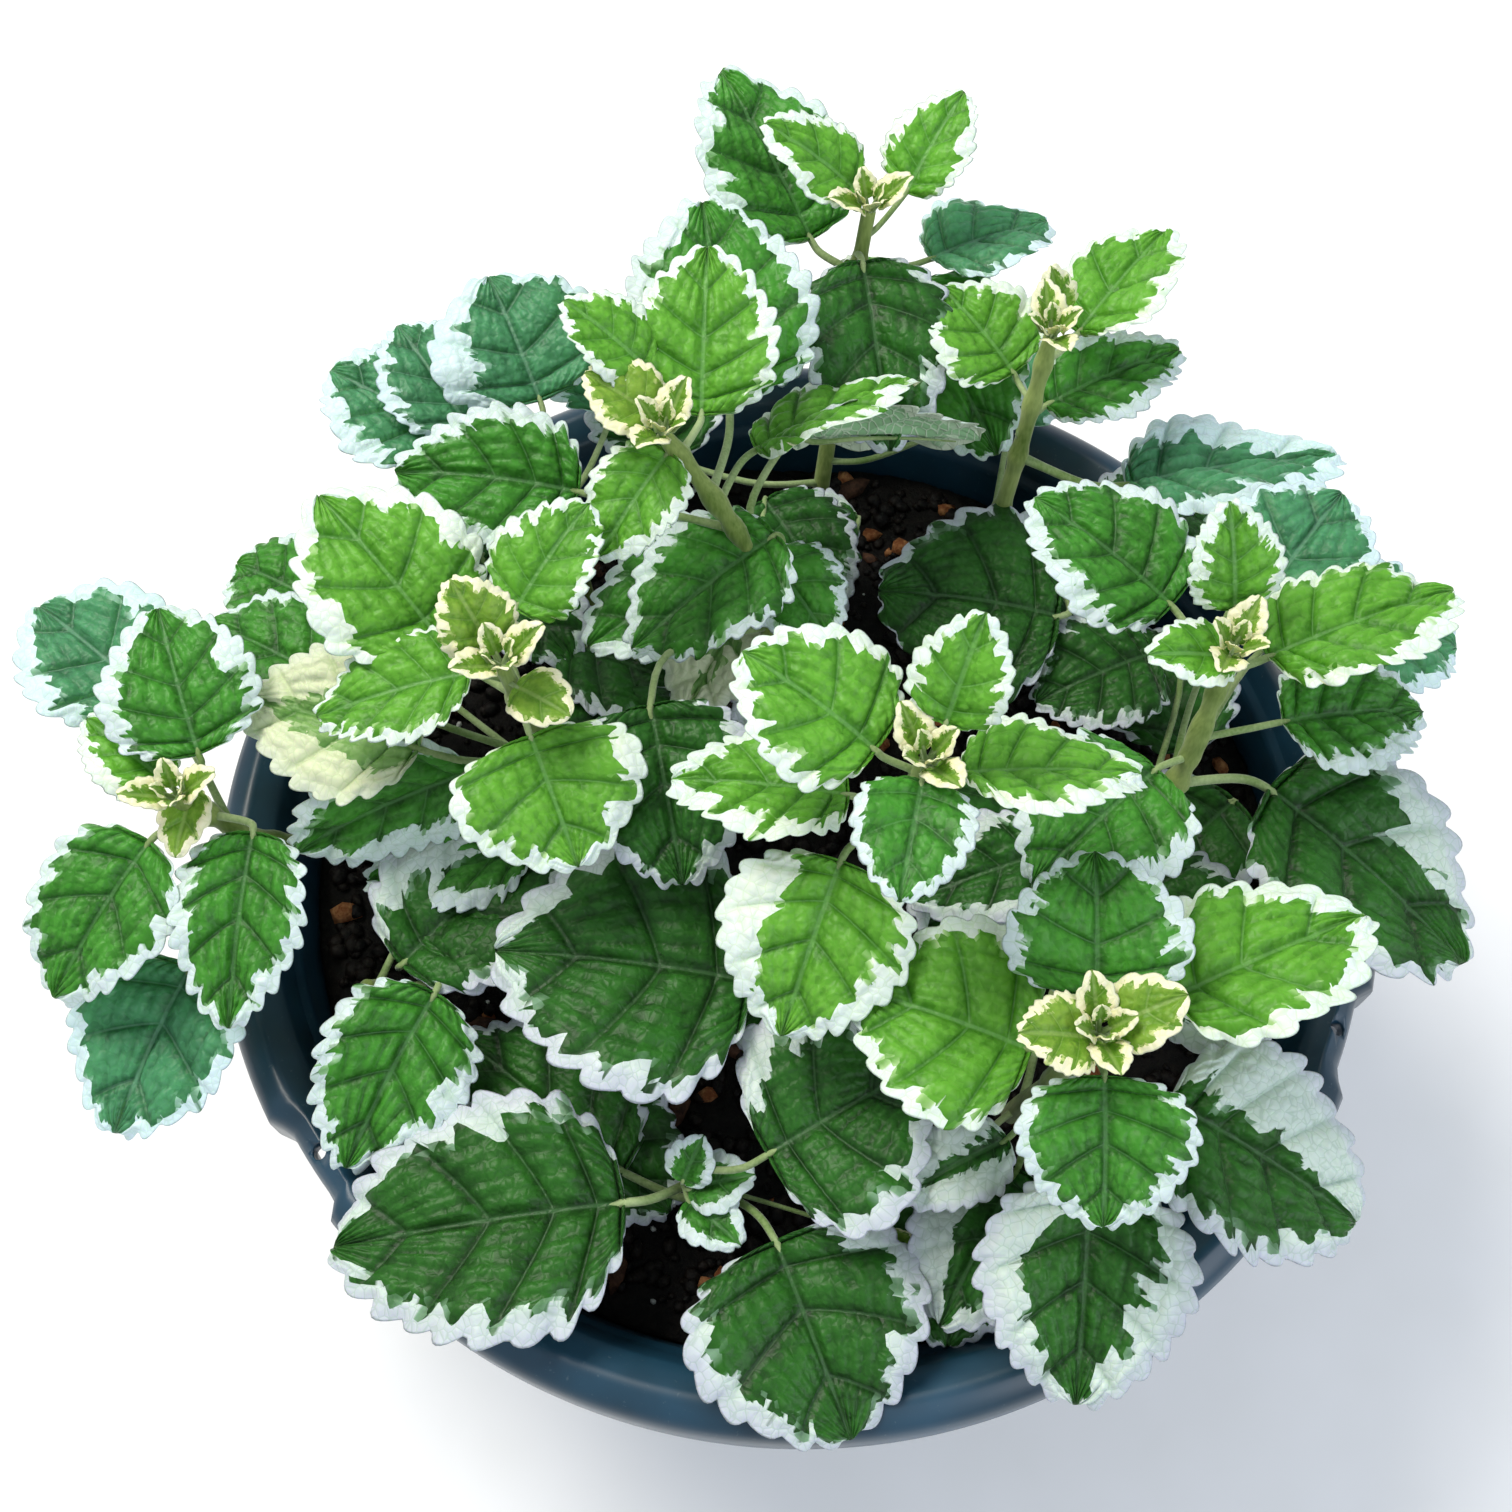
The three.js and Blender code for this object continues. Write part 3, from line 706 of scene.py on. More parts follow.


# How each leaf of a shoot is marked: its age or the bluish painted-shade look, the white margin of its right
# and left halves seen from the stalk, and where it differs its fold, the white at its tip, and white sectors
# as (half, place along, depth, breadth).
shootMarks = {
    "back": [
        ("mature", 0.09, 0.15), ("shade", 0.06, 0.07), ("mature", 0.06, 0.06),
    ],
    "right_back": [
        ("young", 0.16, 0.12), ("young", 0.12, 0.12, {"tip": 0.2}),
        ("old", 0.06, 0.03, {"tip": 0.0, "fold": 6}),
        ("shade", 0.16, 0.34, {"sectors": [(-1, 0.75, 0.3, 0.15)]}),
    ],
    "centre_back": [
        ("young", 0.12, 0.13), ("mature", 0.12, 0.17), ("young", 0.13, 0.17), ("mature", 0.17, 0.12),
        ("old", 0.07, 0.12),
    ],
    "left_back": [
        ("shade", 0.09, 0.23, {"sectors": [(-1, 0.5, 0.25, 0.08)]}), ("shade", 0.17, 0.17),
    ],
    "left": [
        ("young", 0.15, 0.17, {"tip": 0.16}), ("young", 0.13, 0.14, {"tip": 0.2}), ("pale", 0.58, 0.5),
    ],
    "far_left": [
        ("mature", 0.07, 0.12), ("shade", 0.17, 0.21), ("mature", 0.16, 0.17), ("mature", 0.12, 0.13),
        ("mature", 0.17, 0.13), ("shade", 0.09, 0.12),
    ],
    "right": [
        ("mature", 0.12, 0.14), ("young", 0.13, 0.12), ("shade", 0.12, 0.12), ("shade", 0.12, 0.12),
        ("mature", 0.2, 0.12), ("old", 0.07, 0.14, {"sectors": [(-1, 0.65, 0.3, 0.16)]}),
        ("old", 0.08, 0.08), ("mature", 0.15, 0.17),
    ],
    "centre": [
        ("young", 0.1, 0.15, {"tip": 0.16}), ("young", 0.2, 0.15, {"tip": 0.3}),
        ("young", 0.15, 0.21, {"tip": 0.3}), ("young", 0.24, 0.17, {"sectors": [(1, 0.4, 0.25, 0.2)]}),
        ("old", 0.17, 0.12, {"tip": 0.25}),
    ],
    "right_front": [
        ("mature", 0.12, 0.1), ("young", 0.12, 0.08, {"tip": 0.0}), ("mature", 0.14, 0.15),
        ("young", 0.16, 0.16, {"tip": 0.3}), ("old", 0.12, 0.62),
        ("old", 0.2, 0.3, {"sectors": [(1, 0.2, 0.55, 0.28)]}),
    ],
    "front": [
        ("old", 0.13, 0.17, {"sectors": [(-1, 0.3, 0.4, 0.12)]}),
        ("old", 0.16, 0.13, {"tip": 0.0, "sectors": [(-1, 0.3, 0.25, 0.1)]}),
        ("old", 0.17, 0.14, {"tip": 0.0}),
    ],
    "left_front": [
        ("mature", 0.09, 0.17), ("old", 0.14, 0.55),
    ],
}
leafStyles = {
    f"{shoot}_leaf_{number}": {"ageOrShade": ageOrShade, "margins": (right, left), **dict(*special)}
    for shoot, marks in shootMarks.items()
    for number, (ageOrShade, right, left, *special) in enumerate(marks, 1)
}


# The petiole starts on the middle line of its stem, below the point nearest to the blade.
def stemJoint(shoot, point):
    line = smoothPath(stems[shoot], 80)
    gap = np.linalg.norm(line - point, axis=1)
    return line[int(gap.argmin())]


for number, (name, growth) in enumerate(sorted(leaves.items())):
    style = leafStyles.get(name, {"ageOrShade": "mature", "margins": (0.25, 0.25)})
    shoot = name.split("_leaf_")[0]
    growth["petiole"] = np.vstack([stemJoint(shoot, growth["petiole"][0]), growth["petiole"][1:]])
    shells = leafShells(growth, style, 101 + number * 7, 88, 57)
    blade = makeObject(f"{name}_blade", shells, leafMaterials[style["ageOrShade"]])
    finishPiece(blade, "leaf", name)
print("frame leaves grown:", len(leaves))


# Leaves too many for the frame: shoot, blade's start over the rim, facing, pitch, length, width,
# roll, age or the bluish painted-shade look, and margins. All but the last six rows have places and
# facings that were worked out by a program; few of them were changed. They don't follow the pot's radius.
smallLeaves = [
    ("back", (12, 108, 72), 161, 30, 24, 20, 0, "young", (0.15, 0.18)),
    ("back", (22, 110, 70), 56, 25, 24, 18, 0, "young", (0.15, 0.15)),
    ("back", (10, 110, 50), -16, -5, 23, 16, 40, "young", (0.54, 0.45)),
    ("right_back", (51, 71, 50), 26, 0, 33, 22, 0, "mature", (0.15, 0.18)),
    ("right_back", (52, 82, 62), 125, 70, 14, 10, 0, "bud", (0.18, 0.18)),
    ("centre_back", (-29, 54, 82), 152, 30, 20, 17, 0, "young", (0.15, 0.15)),
    ("centre_back", (-27, 44, 80), 155, 22, 16, 16, 0, "bud", (0.18, 0.18)),
    ("centre_back", (-25, 40, 76), -128, -25, 24, 19, 0, "young", (0.12, 0.18)),
    ("centre_back", (-2, 61, 52), 7, -10, 41, 26, 70, "mature", (0.18, 0.18)),
    ("left_back", (-67, 63, 26), 177, -5, 24, 20, 0, "shade", (0.18, 0.18)),
    ("left", (-53, 12, 66), 52, 21, 24, 21, 0, "young", (0.07, 0.1)),
    ("left", (-61, 1, 62), -170, -15, 31, 22, 0, "young", (0.08, 0.12)),
    ("left", (-56, 1, 70), 127, 42, 15, 15, 0, "bud", (0.15, 0.15)),
    ("left", (-52, -4, 66), -31, 0, 12, 12, 0, "bud", (0.15, 0.15)),
    ("left", (-92, 13, 34), 149, -9, 37, 28, 0, "mature", (0.12, 0.18)),
    ("left", (-64, -5, 34), -166, -25, 44, 24, 60, "mature", (0.22, 0.3)),
    ("far_left", (-122, -10, 38), 143, 5, 22, 17, 0, "young", (0.18, 0.24)),
    ("far_left", (-117, -11, 38), -98, -8, 14, 10, 0, "bud", (0.18, 0.18)),
    ("right", (78, 11, 68), 101, 44, 20, 18, 0, "young", (0.18, 0.21)),
    ("right", (77, 2, 66), -174, 13, 17, 14, 0, "young", (0.12, 0.18)),
    ("centre", (22, -22, 86), 66, 44, 20, 17, 0, "young", (0.15, 0.18)),
    ("centre", (18, -31, 84), -102, 0, 22, 20, 0, "mature", (0.12, 0.14)),
    ("right_front", (47, -67, 60), -176, 24, 15, 14, 0, "bud", (0.15, 0.15)),
    ("right_front", (50, -65, 60), 16, 29, 14, 13, 0, "bud", (0.15, 0.15)),
    ("right_front", (40, -78, 14), -119, -21, 33, 28, 0, "old", (0.45, 0.27)),
    ("right_front", (37, -75, 24), -154, -10, 23, 16, 0, "old", (0.63, 0.54)),
    ("right_front", (66, -50, 22), 20, -8, 34, 26, 0, "old", (0.54, 0.63)),
    ("left", (-55, -14, 14), -173, -10, 35, 22, 0, "mature", (0.18, 0.24)),
    ("centre_back", (-9, 47, 32), -150, -8, 41, 30, 0, "mature", (0.12, 0.18)),
    ("centre_back", (-6, 36, 10), -70, -8, 34, 26, 0, "old", (0.5, 0.45)),
    ("centre_back", (15, 75, 2), -170, -5, 24, 19, 0, "old", (0.45, 0.27)),
    ("right", (51, -14, 14), -163, -11, 30, 24, 0, "old", (0.24, 0.24)),
    ("front", (-35, -75, -4), 141, -3, 45, 32, 0, "old", (0.06, 0.06)),
    ("centre_back", (-52, 39, 8), -20, -8, 36, 30, 0, "old", (0.1, 0.1)),
    ("centre_back", (-11, 45, 16), -117, -8, 30, 24, 0, "pale", (0.7, 0.6)),
    ("centre_back", (-43, 28, 6), -75, -8, 42, 36, 0, "old", (0.08, 0.08)),
    ("centre_back", (-7, 45, 34), -55, -10, 24, 22, 0, "mature", (0.1, 0.12)),
    ("left", (-80, -37, 10), 46, 0, 43, 36, 0, "old", (0.08, 0.4)),
    ("centre", (45, 4, 6), -113, -6, 40, 35, 0, "old", (0.1, 0.1)),
    ("right", (87, 16, 0), 109, -4, 36, 30, 0, "old", (0.1, 0.1)),
    ("right", (95, 5, -2), -138, -6, 36, 30, 0, "old", (0.1, 0.1)),
    ("centre_back", (-7, 78, 6), -59, -8, 33, 28, 0, "old", (0.08, 0.08)),
    ("back", (13, 97, 64), -81, -25, 40, 32, 0, "old", (0.12, 0.12)),
    ("centre_back", (-5, 39, 50), -142, -12, 37, 29, 0, "mature", (0.14, 0.1)),
    ("right_front", (31, -78, -4), -97, -6, 30, 32, 0, "old", (0.08, 0.08)),
    ("front", (15, -89, 2), -38, 0, 9, 8, 0, "bud", (0.1, 0.1)),
    ("front", (-22, -80, 4), 8, 20, 14, 12, 0, "mature", (0.3, 0.3)),
    ("front", (-22, -82, 4), -41, 10, 14, 12, 0, "mature", (0.3, 0.3)),
    ("front", (-23, -79, 6), 60, 40, 11, 10, 0, "mature", (0.3, 0.3)),
    ("right_back", (57, 75, 2), -58, -6, 38, 34, 0, "old", (0.08, 0.08)),
    ("left", (-101, 42, 20), -27, -10, 34, 30, 0, "mature", (0.12, 0.2)),
    ("left_back", (-72, 80, 30), 125, 10, 31, 26, 0, "shade", (0.1, 0.15)),
    ("centre", (9, -18, -2), -129, -8, 38, 34, 0, "old", (0.1, 0.1)),
    ("right_front", (66, -18, 8), -44, -6, 36, 32, 0, "old", (0.1, 0.1)),
    ("left_front", (-49, -60, -6), -43, -8, 32, 30, 0, "old", (0.1, 0.1)),
    ("back", (1, 126, 20), -139, -20, 34, 30, 0, "shade", (0.12, 0.14)),
    ("left", (-70, 57, 14), -48, -10, 32, 28, 0, "old", (0.1, 0.1)),
    ("right", (94, 42, 24), 31, 0, 30, 27, 0, "shade", (0.1, 0.14)),
    ("back", (-28, 88, 8), 110, -5, 38, 32, 0, "old", (0.1, 0.12)),
    ("back", (30, 94, 8), 62, -6, 34, 30, 0, "old", (0.12, 0.1)),
    ("left_back", (-62, 62, 6), 150, -8, 36, 30, 0, "old", (0.1, 0.12)),
    ("left_back", (-42, 92, 20), 96, -4, 36, 30, 0, "shade", (0.14, 0.12)),
    ("right_back", (68, 66, 6), 24, -8, 34, 29, 0, "old", (0.1, 0.12)),
    ("right_back", (50, 94, 12), 82, -6, 34, 28, 0, "shade", (0.12, 0.1)),
]


def growLeaf(shoot, base, facing, pitch, length, width, roll=0, droop=24):
    joint = stemJoint(shoot, base - np.array([0, 0, 0.25 * length]))
    ahead = direction(facing, pitch)
    bend = (joint + base) / 2 - ahead * 0.1 * length
    return {
        "base": base, "facing": facing, "pitch": pitch, "droop": droop, "length": length, "width": width,
        "roll": roll, "petiole": np.array([joint, bend, base]),
    }


rimTop = np.array([0, 0, rimHeight])
for number, (shoot, place, facing, pitch, length, width, roll, ageOrShade, margins) in enumerate(smallLeaves):
    growth = growLeaf(shoot, rimTop + place, facing, pitch, length, width, roll)
    rowCount, columnCount = (60, 37) if length > 25 else (44, 29)
    shells = leafShells(growth, {"margins": margins}, 1009 + number * 11, rowCount, columnCount)
    blade = makeObject(f"{shoot}_small_leaf_{number + 1}", shells, leafMaterials[ageOrShade])
    finishPiece(blade, "leaf")
print("small leaves grown:", len(smallLeaves))

# Each shoot ends in pairs of tiny leaves, each pair square to the last and more upright.
budShape = {
    "turns": {"back": 20, "right_back": 100, "centre_back": 60, "left": 30, "far_left": 15,
              "right": 60, "centre": 120, "right_front": 100},
    "pairs": [(9.5, 7.5, 38), (6.5, 5.2, 56), (4.2, 3.6, 70)],  # length, width, pitch
}
for number, (shoot, turn) in enumerate(budShape["turns"].items()):
    tip = stems[shoot][-1]
    shells = []
    for level, (length, width, pitch) in enumerate(budShape["pairs"]):
        for side in (0, 180):
            facing = turn + 90 * level + side
            base = tip + np.array([0, 0, 1.0 + level]) + direction(facing, 0) * 1.6
            growth = growLeaf(shoot, base, facing, pitch, length, width, droop=10)
            seed = 5003 + number * 31 + level * 3 + side
            shells += leafShells(growth, {"margins": (0.3, 0.3), "fold": 24}, seed, 22, 17)
    bud = makeObject(f"{shoot}_bud", shells, leafMaterials["bud"])
    finishPiece(bud, "leaf")
print("buds grown:", len(budShape["turns"]))


stemShape = {"radius": 2.1, "tipRadius": 1.5, "knot": 0.55, "knotReach": 2.6, "sides": 18, "rings": 70}
cutWood = makeStemSkin("dry_cut_stem", "#6b4a34", "#a07a5c")
for shoot, line in stems.items():
    path = smoothPath(line, stemShape["rings"])
    path = path[path[:, 2] > soilHigh[2] - 9]
    radii = np.linspace(stemShape["radius"], stemShape["tipRadius"], len(path))
    for name, growth in leaves.items():
        if name.startswith(f"{shoot}_leaf_"):
            gap = np.linalg.norm(path - growth["petiole"][0], axis=1)
            radii = radii + stemShape["knot"] * np.exp(-(gap / stemShape["knotReach"]) ** 2)
    skin = tubeShell(path, radii, stemShape["sides"], np.array([0.0, 1.0, 0.0]))
    stem = makeObject(f"{shoot}_stem_skin", [skin], [cutWood if shoot == "front" else stemSkin])
    finishPiece(stem, "stem", f"{shoot}_stem")
print("stems made:", len(stems))


potShape = {
    "baseRadius": 84.0, "wall": 2.4, "floor": 3.0, "lipWidth": 12.0, "lipDrop": 16.0, "lipThickness": 1.8,
    "clipHeading": 217.0, "clipCount": 3, "clipWidth": 20.0, "clipSetBack": 3.0,
    "clipHoleRadius": 1.6, "drainHoleCount": 6, "drainHoleRadius": 5.0, "drainCircleRadius": 55.0,
    "sides": 288,
}


# Pot plastic: polypropylene, injection moulded with a satin face. Gives a dark teal with broad
# soft highlights, faint flow marks round the lip and dust in the hollows.
def makePotPlastic():
    material, tree, shader = newMaterial("moulded_polypropylene", {
        "Roughness": 0.34, "IOR": 1.49, "Specular IOR Level": 0.5,
        "Coat Weight": 0.2, "Coat Roughness": 0.22,
    })
    place = objectPlace(tree)
    cloud = noise(tree, place, 34, 4)
    dust = noise(tree, place, 700, 2, Roughness=0.7)
    colour = blend(tree, remap(tree, cloud, 0.3, 0.75), "#0e2733", "#1a465e")
    colour = blend(tree, remap(tree, dust, 0.66, 0.8, 0, 0.35), colour, "#6f7f84")
    tree.links.new(remap(tree, cloud, 0.2, 0.8, 0.3, 0.5), shader.inputs["Roughness"])
    flow = addNode(tree, "ShaderNodeMapping", {"Scale": (30, 30, 260), "Vector": place}).outputs[0]
    finishShader(tree, shader, colour, noise(tree, flow, 1, 2), 0.25, 0.0006)
    return material


# The wall's profile is turned about Z: radius by heading, less the set-back at each clip.
# Each profile row is (radius, height, how much of the set-back it takes).
def makePot():
    shape = potShape
    throat = rimRadius - shape["lipWidth"]
    skirt = rimHeight - shape["lipDrop"]
    crease = rimRadius - shape["lipWidth"] / 2

    def inside(height):
        share = (height - shape["floor"]) / (rimHeight - shape["floor"])
        return (1 - share) * (shape["baseRadius"] - shape["wall"]) + share * throat

    outside = skirt - 2
    outerWall = [(inside(z) + shape["wall"], z, 0) for z in (5, 20, 46, 74, 102, outside, skirt + 8)]
    profile = np.array([
        (0.5, 0.0, 0), (30, 0.0, 0), (66, 0.0, 0), (78, 0.0, 0), (80.5, 0.1, 0), (82.6, 1.0, 0),
        (83.8, 2.6, 0), *outerWall,
        (throat + shape["wall"] + 0.4, rimHeight - 5.6, 0), (throat + 4.4, rimHeight - 4.9, 0.4),
        (rimRadius - 3.4, rimHeight - 4.9, 1), (rimRadius - 2.3, rimHeight - 5.6, 1),
        (rimRadius - 1.9, rimHeight - 7, 1), (rimRadius - 1.8, skirt + 3, 1),
        (rimRadius - 1.7, skirt + 0.4, 1),
        (rimRadius - 1.3, skirt, 1), (rimRadius - 0.5, skirt, 1), (rimRadius - 0.1, skirt + 0.5, 1),
        (rimRadius, skirt + 2, 1), (rimRadius, rimHeight - 6.5, 1), (rimRadius - 0.2, rimHeight - 4.4, 1),
        (rimRadius - 0.9, rimHeight - 2.8, 1), (rimRadius - 2.2, rimHeight - 1.6, 1),
        (crease + 1.2, rimHeight - 0.25, 0.7), (crease, rimHeight, 0.4),
        (crease - 1.2, rimHeight - 0.35, 0.2), (throat + 2.2, rimHeight - 2.2, 0),
        (throat + 0.7, rimHeight - 3.0, 0), (throat + 0.05, rimHeight - 4.0, 0),
        (inside(rimHeight - 8), rimHeight - 8, 0), (inside(rimHeight - 9), rimHeight - 9, 0),
        (inside(rimHeight - 9.6) - 0.9, rimHeight - 9.8, 0),
        (inside(rimHeight - 12) - 0.9, rimHeight - 12, 0),
        (inside(rimHeight - 24), rimHeight - 24, 0), (inside(70), 70, 0), (inside(30), 30, 0),
        (inside(6), 6, 0), (inside(3) - 2, 3.2, 0), (60, 3, 0), (30, 3, 0), (0.5, 3, 0),
    ])
    heading = np.linspace(0, 2 * np.pi, shape["sides"], endpoint=False)
    setBack = np.zeros(len(heading))
    clips = np.radians(shape["clipHeading"] + 360 / shape["clipCount"] * np.arange(shape["clipCount"]))
    for clip in clips:
        off = np.abs((-heading - clip + np.pi) % (2 * np.pi) - np.pi) * rimRadius
        halfWidth = shape["clipWidth"] / 2
        setBack += shape["clipSetBack"] * (1 - smoothStep(off, halfWidth - 1.2, halfWidth + 1.2))
    radius = profile[:, None, 0] - profile[:, None, 2] * setBack[None]
    height = profile[:, None, 1] + 0 * radius
    grid = np.stack([radius * np.cos(heading), -radius * np.sin(heading), height], -1)
    shell = ringShell(grid, np.array([0, 0, 0.0]), np.array([0, 0, 3.0]))
    pot = makeObject("pot_wall", [shell], [makePotPlastic()])

    holes = []
    for i in range(shape["drainHoleCount"]):
        at = direction(360 * i / shape["drainHoleCount"], 0) * shape["drainCircleRadius"]
        holes.append((at[0], at[1], -4, 8, shape["drainHoleRadius"]))
    for clip in clips:
        far = rimRadius - shape["clipSetBack"] - shape["clipHoleRadius"] * 2
        x, y = far * math.cos(clip), far * math.sin(clip)
        holes.append((x, y, skirt - 2, rimHeight + 4, shape["clipHoleRadius"]))
    cutters = []
    for x, y, low, high, radius in holes:
        axis = np.array([[x, y, z] for z in np.linspace(low, high, 4)])
        cutters.append(tubeShell(axis, radius, 24, np.array([0.0, 1.0, 0.0])))
    cutter = makeObject("hole_cutter", cutters, [])
    cut = pot.modifiers.new("holes", "BOOLEAN")
    cut.operation = "DIFFERENCE"
    cut.solver = "EXACT"
    cut.object = cutter
    finished = bpy.data.meshes.new_from_object(pot.evaluated_get(bpy.context.evaluated_depsgraph_get()))
    pot.modifiers.clear()
    pot.data = finished
    bpy.data.objects.remove(cutter)
    return pot


pot = makePot()
finishPiece(pot, "pot_plastic", "pot")
print("pot made:", len(pot.data.polygons), "faces")


soilShape = {
    "rings": 120, "sides": 300, "lumps": 1.6, "grain": 0.9, "edgeGap": 0.6,
    "crumbs": 3400, "grit": 130, "perlite": 170, "bark": 60,
}


# Potting mix: composted peat and bark, damp. Gives a near-black ground with brown fibres and a
# dull wet glint on the crumbs.
def makeSoilMaterial(name, low, high, roughness, scale):
    finish = {"Roughness": roughness, "IOR": 1.4, "Specular IOR Level": 0.3}
    material, tree, shader = newMaterial(name, finish)
    patch = noise(tree, objectPlace(tree), scale, 5, Roughness=0.65)
    colour = blend(tree, remap(tree, patch, 0.42, 0.75), low, high)
    finishShader(tree, shader, colour, patch, 0.9, 0.0009)
    return material


def soilHeight(x, y):
    spots = np.stack([x, y], -1)
    away = np.hypot(x, y) / rimRadius
    crown = soilHigh[2] - 3.2 * away ** 2
    lumps = latticeNoise(spots, 14, 3) * soilShape["lumps"]
    lumps = lumps + latticeNoise(spots, 5.5, 4) * soilShape["grain"]
    return crown - 1.2 + lumps + latticeNoise(spots, 2.2, 5) * 0.5


def makeSoil():
    edge = soilHigh[0] - soilShape["edgeGap"]
    share = np.linspace(0.02, 1, soilShape["rings"])
    turn = np.linspace(0, 2 * np.pi, soilShape["sides"], endpoint=False)
    radius = edge * share[:, None] * np.ones_like(turn)
    x, y = radius * np.cos(turn), radius * np.sin(turn)
    top = np.stack([x, y, soilHeight(x, y) - 1.5 * smoothStep(share[:, None], 0.95, 1)], -1)
    wallRadius = np.array([edge, edge - 7, 60, 5])
    wallHeight = np.array([soilHigh[2] - 12, soilHigh[2] - 24, soilHigh[2] - 24, soilHigh[2] - 24])
    low = np.stack([wallRadius[:, None] * np.cos(turn), wallRadius[:, None] * np.sin(turn),
                    wallHeight[:, None] + 0 * turn], -1)
    grid = np.concatenate([top, low])
    centre = np.array([0, 0, soilHeight(np.array([0.0]), np.array([0.0]))[0]])
    shell = ringShell(grid, centre, np.array([0, 0, wallHeight[-1]]))
    look = makeSoilMaterial("damp_potting_mix", "#040403", "#1b1612", 0.7, 420)
    return makeObject("soil_surface", [shell], [look])


# Twelve corners and twenty faces of an icosahedron, each grain stretched, turned and dented.
def makeGrains(name, count, sizes, stretch, seed, material):
    rng = np.random.default_rng(seed)
    golden = (1 + 5 ** 0.5) / 2
    corners = unit(np.array([(a * 1.0, b * golden, 0) for a in (-1, 1) for b in (-1, 1)]))
    corners = np.vstack([corners, np.roll(corners, 1, axis=1), np.roll(corners, 2, axis=1)])
    gap = np.linalg.norm(corners[:, None] - corners[None], axis=-1)
    near = (gap > 0.1) & (gap < 1.2)
    faces = np.array([(i, j, k) for i in range(12) for j in range(i + 1, 12) for k in range(j + 1, 12)
                      if near[i, j] and near[j, k] and near[i, k]])
    first, second, third = (corners[faces[:, i]] for i in range(3))
    turned = np.einsum("ij,ij->i", np.cross(second - first, third - first), first)
    faces[turned < 0] = faces[turned < 0][:, ::-1]
    away = (soilHigh[0] - 4) * np.sqrt(rng.uniform(0, 1, count))
    heading = rng.uniform(0, 2 * np.pi, count)
    x, y = away * np.cos(heading), away * np.sin(heading)
    size = rng.uniform(*sizes, count)
    shapes = corners[None] * rng.uniform(0.72, 1.2, (count, 12, 1)) * size[:, None, None]
    shapes = shapes * (1 + (np.array(stretch) - 1) * rng.uniform(0.6, 1, (count, 1, 3)))
    spin = rng.uniform(0, 2 * np.pi, (count, 1))
    tilt = rng.uniform(-0.5, 0.5, (count, 1))
    a, b, c = shapes[..., 0], shapes[..., 1], shapes[..., 2]
    a, c = a * np.cos(tilt) - c * np.sin(tilt), a * np.sin(tilt) + c * np.cos(tilt)
    a, b = a * np.cos(spin) - b * np.sin(spin), a * np.sin(spin) + b * np.cos(spin)
    centre = np.stack([x, y, soilHeight(x, y) + size * 0.25], -1)
    points = np.stack([a, b, c], -1) + centre[:, None]
    triangles = (faces[None] + 12 * np.arange(count)[:, None, None]).reshape(-1, 3)
    shell = {
        "points": points.reshape(-1, 3), "quads": np.zeros((0, 4), int), "triangles": triangles,
        "quadSlots": np.zeros(0), "triangleSlots": np.zeros(len(triangles)),
    }
    return makeObject(name, [shell], [material])


soil = makeSoil()
finishPiece(soil, "potting_mix", "soil")
crumbLook = makeSoilMaterial("peat_crumbs", "#060505", "#261e18", 0.55, 300)
gritLook = makeSoilMaterial("fired_clay_grit", "#7a4526", "#bd8a5c", 0.8, 500)
perliteLook = makeSoilMaterial("expanded_perlite", "#b9bcb8", "#f0f1ec", 0.7, 600)
barkLook = makeSoilMaterial("pine_bark_chips", "#2c1c14", "#6b4a38", 0.75, 260)
for name, count, sizes, stretch, seed, look in (
    ("soil_crumbs", soilShape["crumbs"], (0.7, 2.2), (1.3, 1, 0.8), 21, crumbLook),
    ("soil_grit", soilShape["grit"], (0.9, 3.0), (1.2, 1, 0.8), 22, gritLook),
    ("soil_perlite", soilShape["perlite"], (0.3, 1.0), (1.2, 1, 0.9), 23, perliteLook),
    ("soil_bark", soilShape["bark"], (2.0, 4.2), (1.7, 0.8, 0.35), 24, barkLook),
):
    finishPiece(makeGrains(name, count, sizes, stretch, seed, look), "potting_mix")
print("soil laid")


studio = {
    "cameraRise": 63.69,  # degrees above the horizontal
    "cameraFar": 2.944,  # distance from the aim, in rim radii
    "aim": (-0.0718, 0.1182),  # on the rim plane, in rim radii
    "lens": 40.0,
    "floor": "#f6f6f4",
    "sky": "#eaf1fb",
    "skyStrength": 0.56,
}


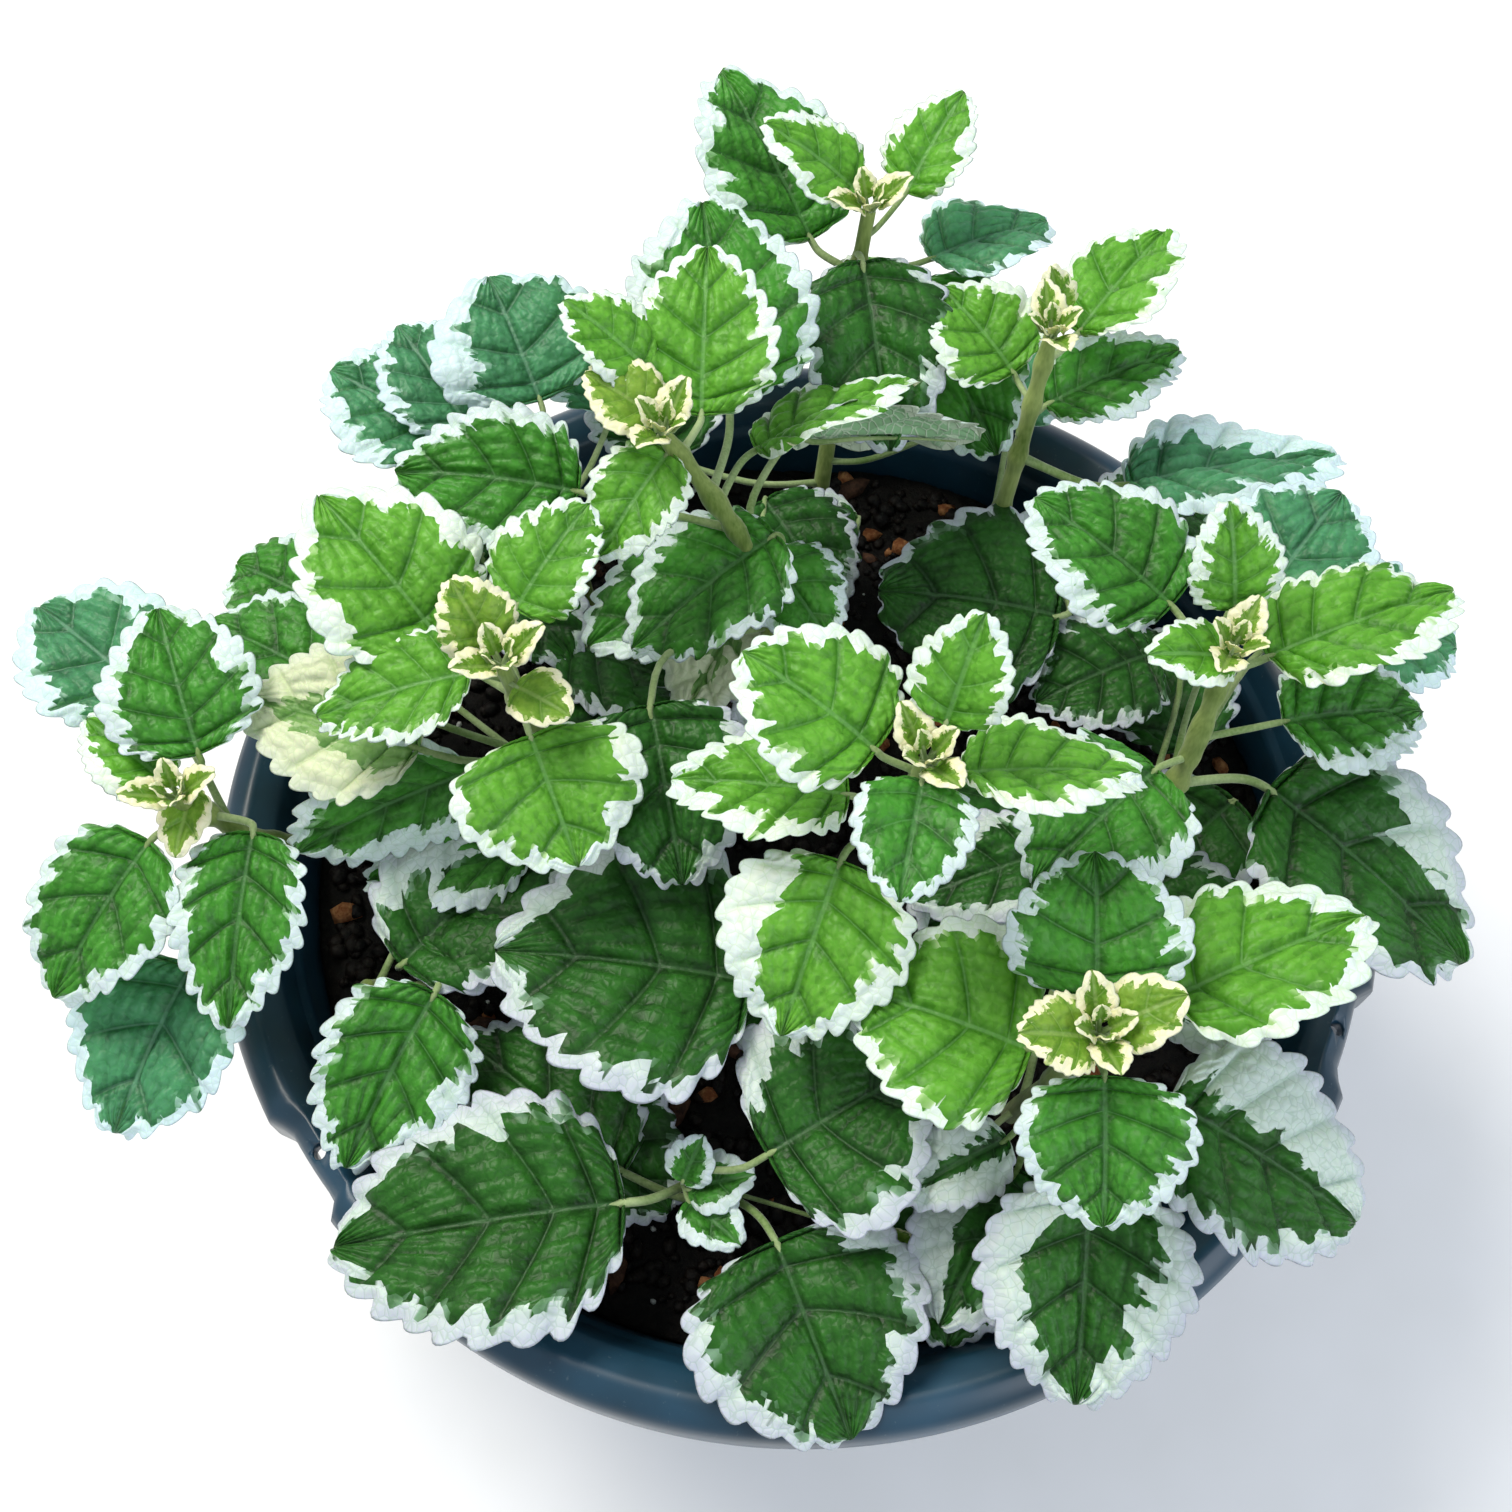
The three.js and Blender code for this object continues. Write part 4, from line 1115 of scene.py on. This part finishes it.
def makeStudio():
    floorCorners = ((-6000.0, -6000), (6000, -6000), (6000, 6000), (-6000, 6000))
    floor = makeObject("studio_floor", [{
        "points": np.array([(x, y, -0.2) for x, y in floorCorners]),
        "quads": np.array([(0, 1, 2, 3)]), "triangles": np.zeros((0, 3), int),
        "quadSlots": np.zeros(1), "triangleSlots": np.zeros(0),
    }], [])
    material, tree, shader = newMaterial("pale_studio_paper", {"Roughness": 0.9})
    tint = blend(tree, noise(tree, objectPlace(tree), 40, 2), studio["floor"], "#ffffff")
    tree.links.new(tint, shader.inputs["Base Color"])
    floor.data.materials.append(material)
    floor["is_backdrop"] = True

    world = bpy.data.worlds.new("studio_sky")
    world.use_nodes = True
    background = world.node_tree.nodes["Background"]
    background.inputs["Color"].default_value = linearColour(studio["sky"])
    background.inputs["Strength"].default_value = studio["skyStrength"]
    bpy.context.scene.world = world

    lights = (
        ("key_light", (-0.55, 0.45, 1.25), 0.7, 17.0, "#fffaf0"),
        ("fill_light", (0.8, -0.7, 0.9), 0.9, 7.0, "#eef4ff"),
    )
    for name, place, size, power, colour in lights:
        lamp = bpy.data.lights.new(name, "AREA")
        lamp.shape = "DISK"
        lamp.size = size
        lamp.energy = power
        lamp.color = linearColour(colour)[:3]
        holder = bpy.data.objects.new(name, lamp)
        holder.location = place
        towards = np.array([0, 0, 0.16]) - np.array(place)
        flatRun = math.hypot(towards[0], towards[1])
        holder.rotation_euler = (math.atan2(flatRun, -towards[2]), 0, math.atan2(-towards[0], towards[1]))
        bpy.context.scene.collection.objects.link(holder)

    rise = math.radians(studio["cameraRise"])
    far = studio["cameraFar"] * rimRadius
    camera = bpy.data.objects.new("camera", bpy.data.cameras.new("camera"))
    camera.data.lens = studio["lens"]
    camera.data.sensor_width = 36
    camera.data.clip_end = 50
    camera.location = np.array([
        studio["aim"][0] * rimRadius,
        studio["aim"][1] * rimRadius - far * math.cos(rise),
        rimHeight + far * math.sin(rise),
    ]) * mm
    camera.rotation_euler = (math.pi / 2 - rise, 0, 0)
    bpy.context.scene.collection.objects.link(camera)
    bpy.context.scene.camera = camera
    bpy.context.scene.view_settings.view_transform = "Standard"


makeStudio()
print("studio set")

sizes = {"cad": cadBounds, "visual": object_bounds()}
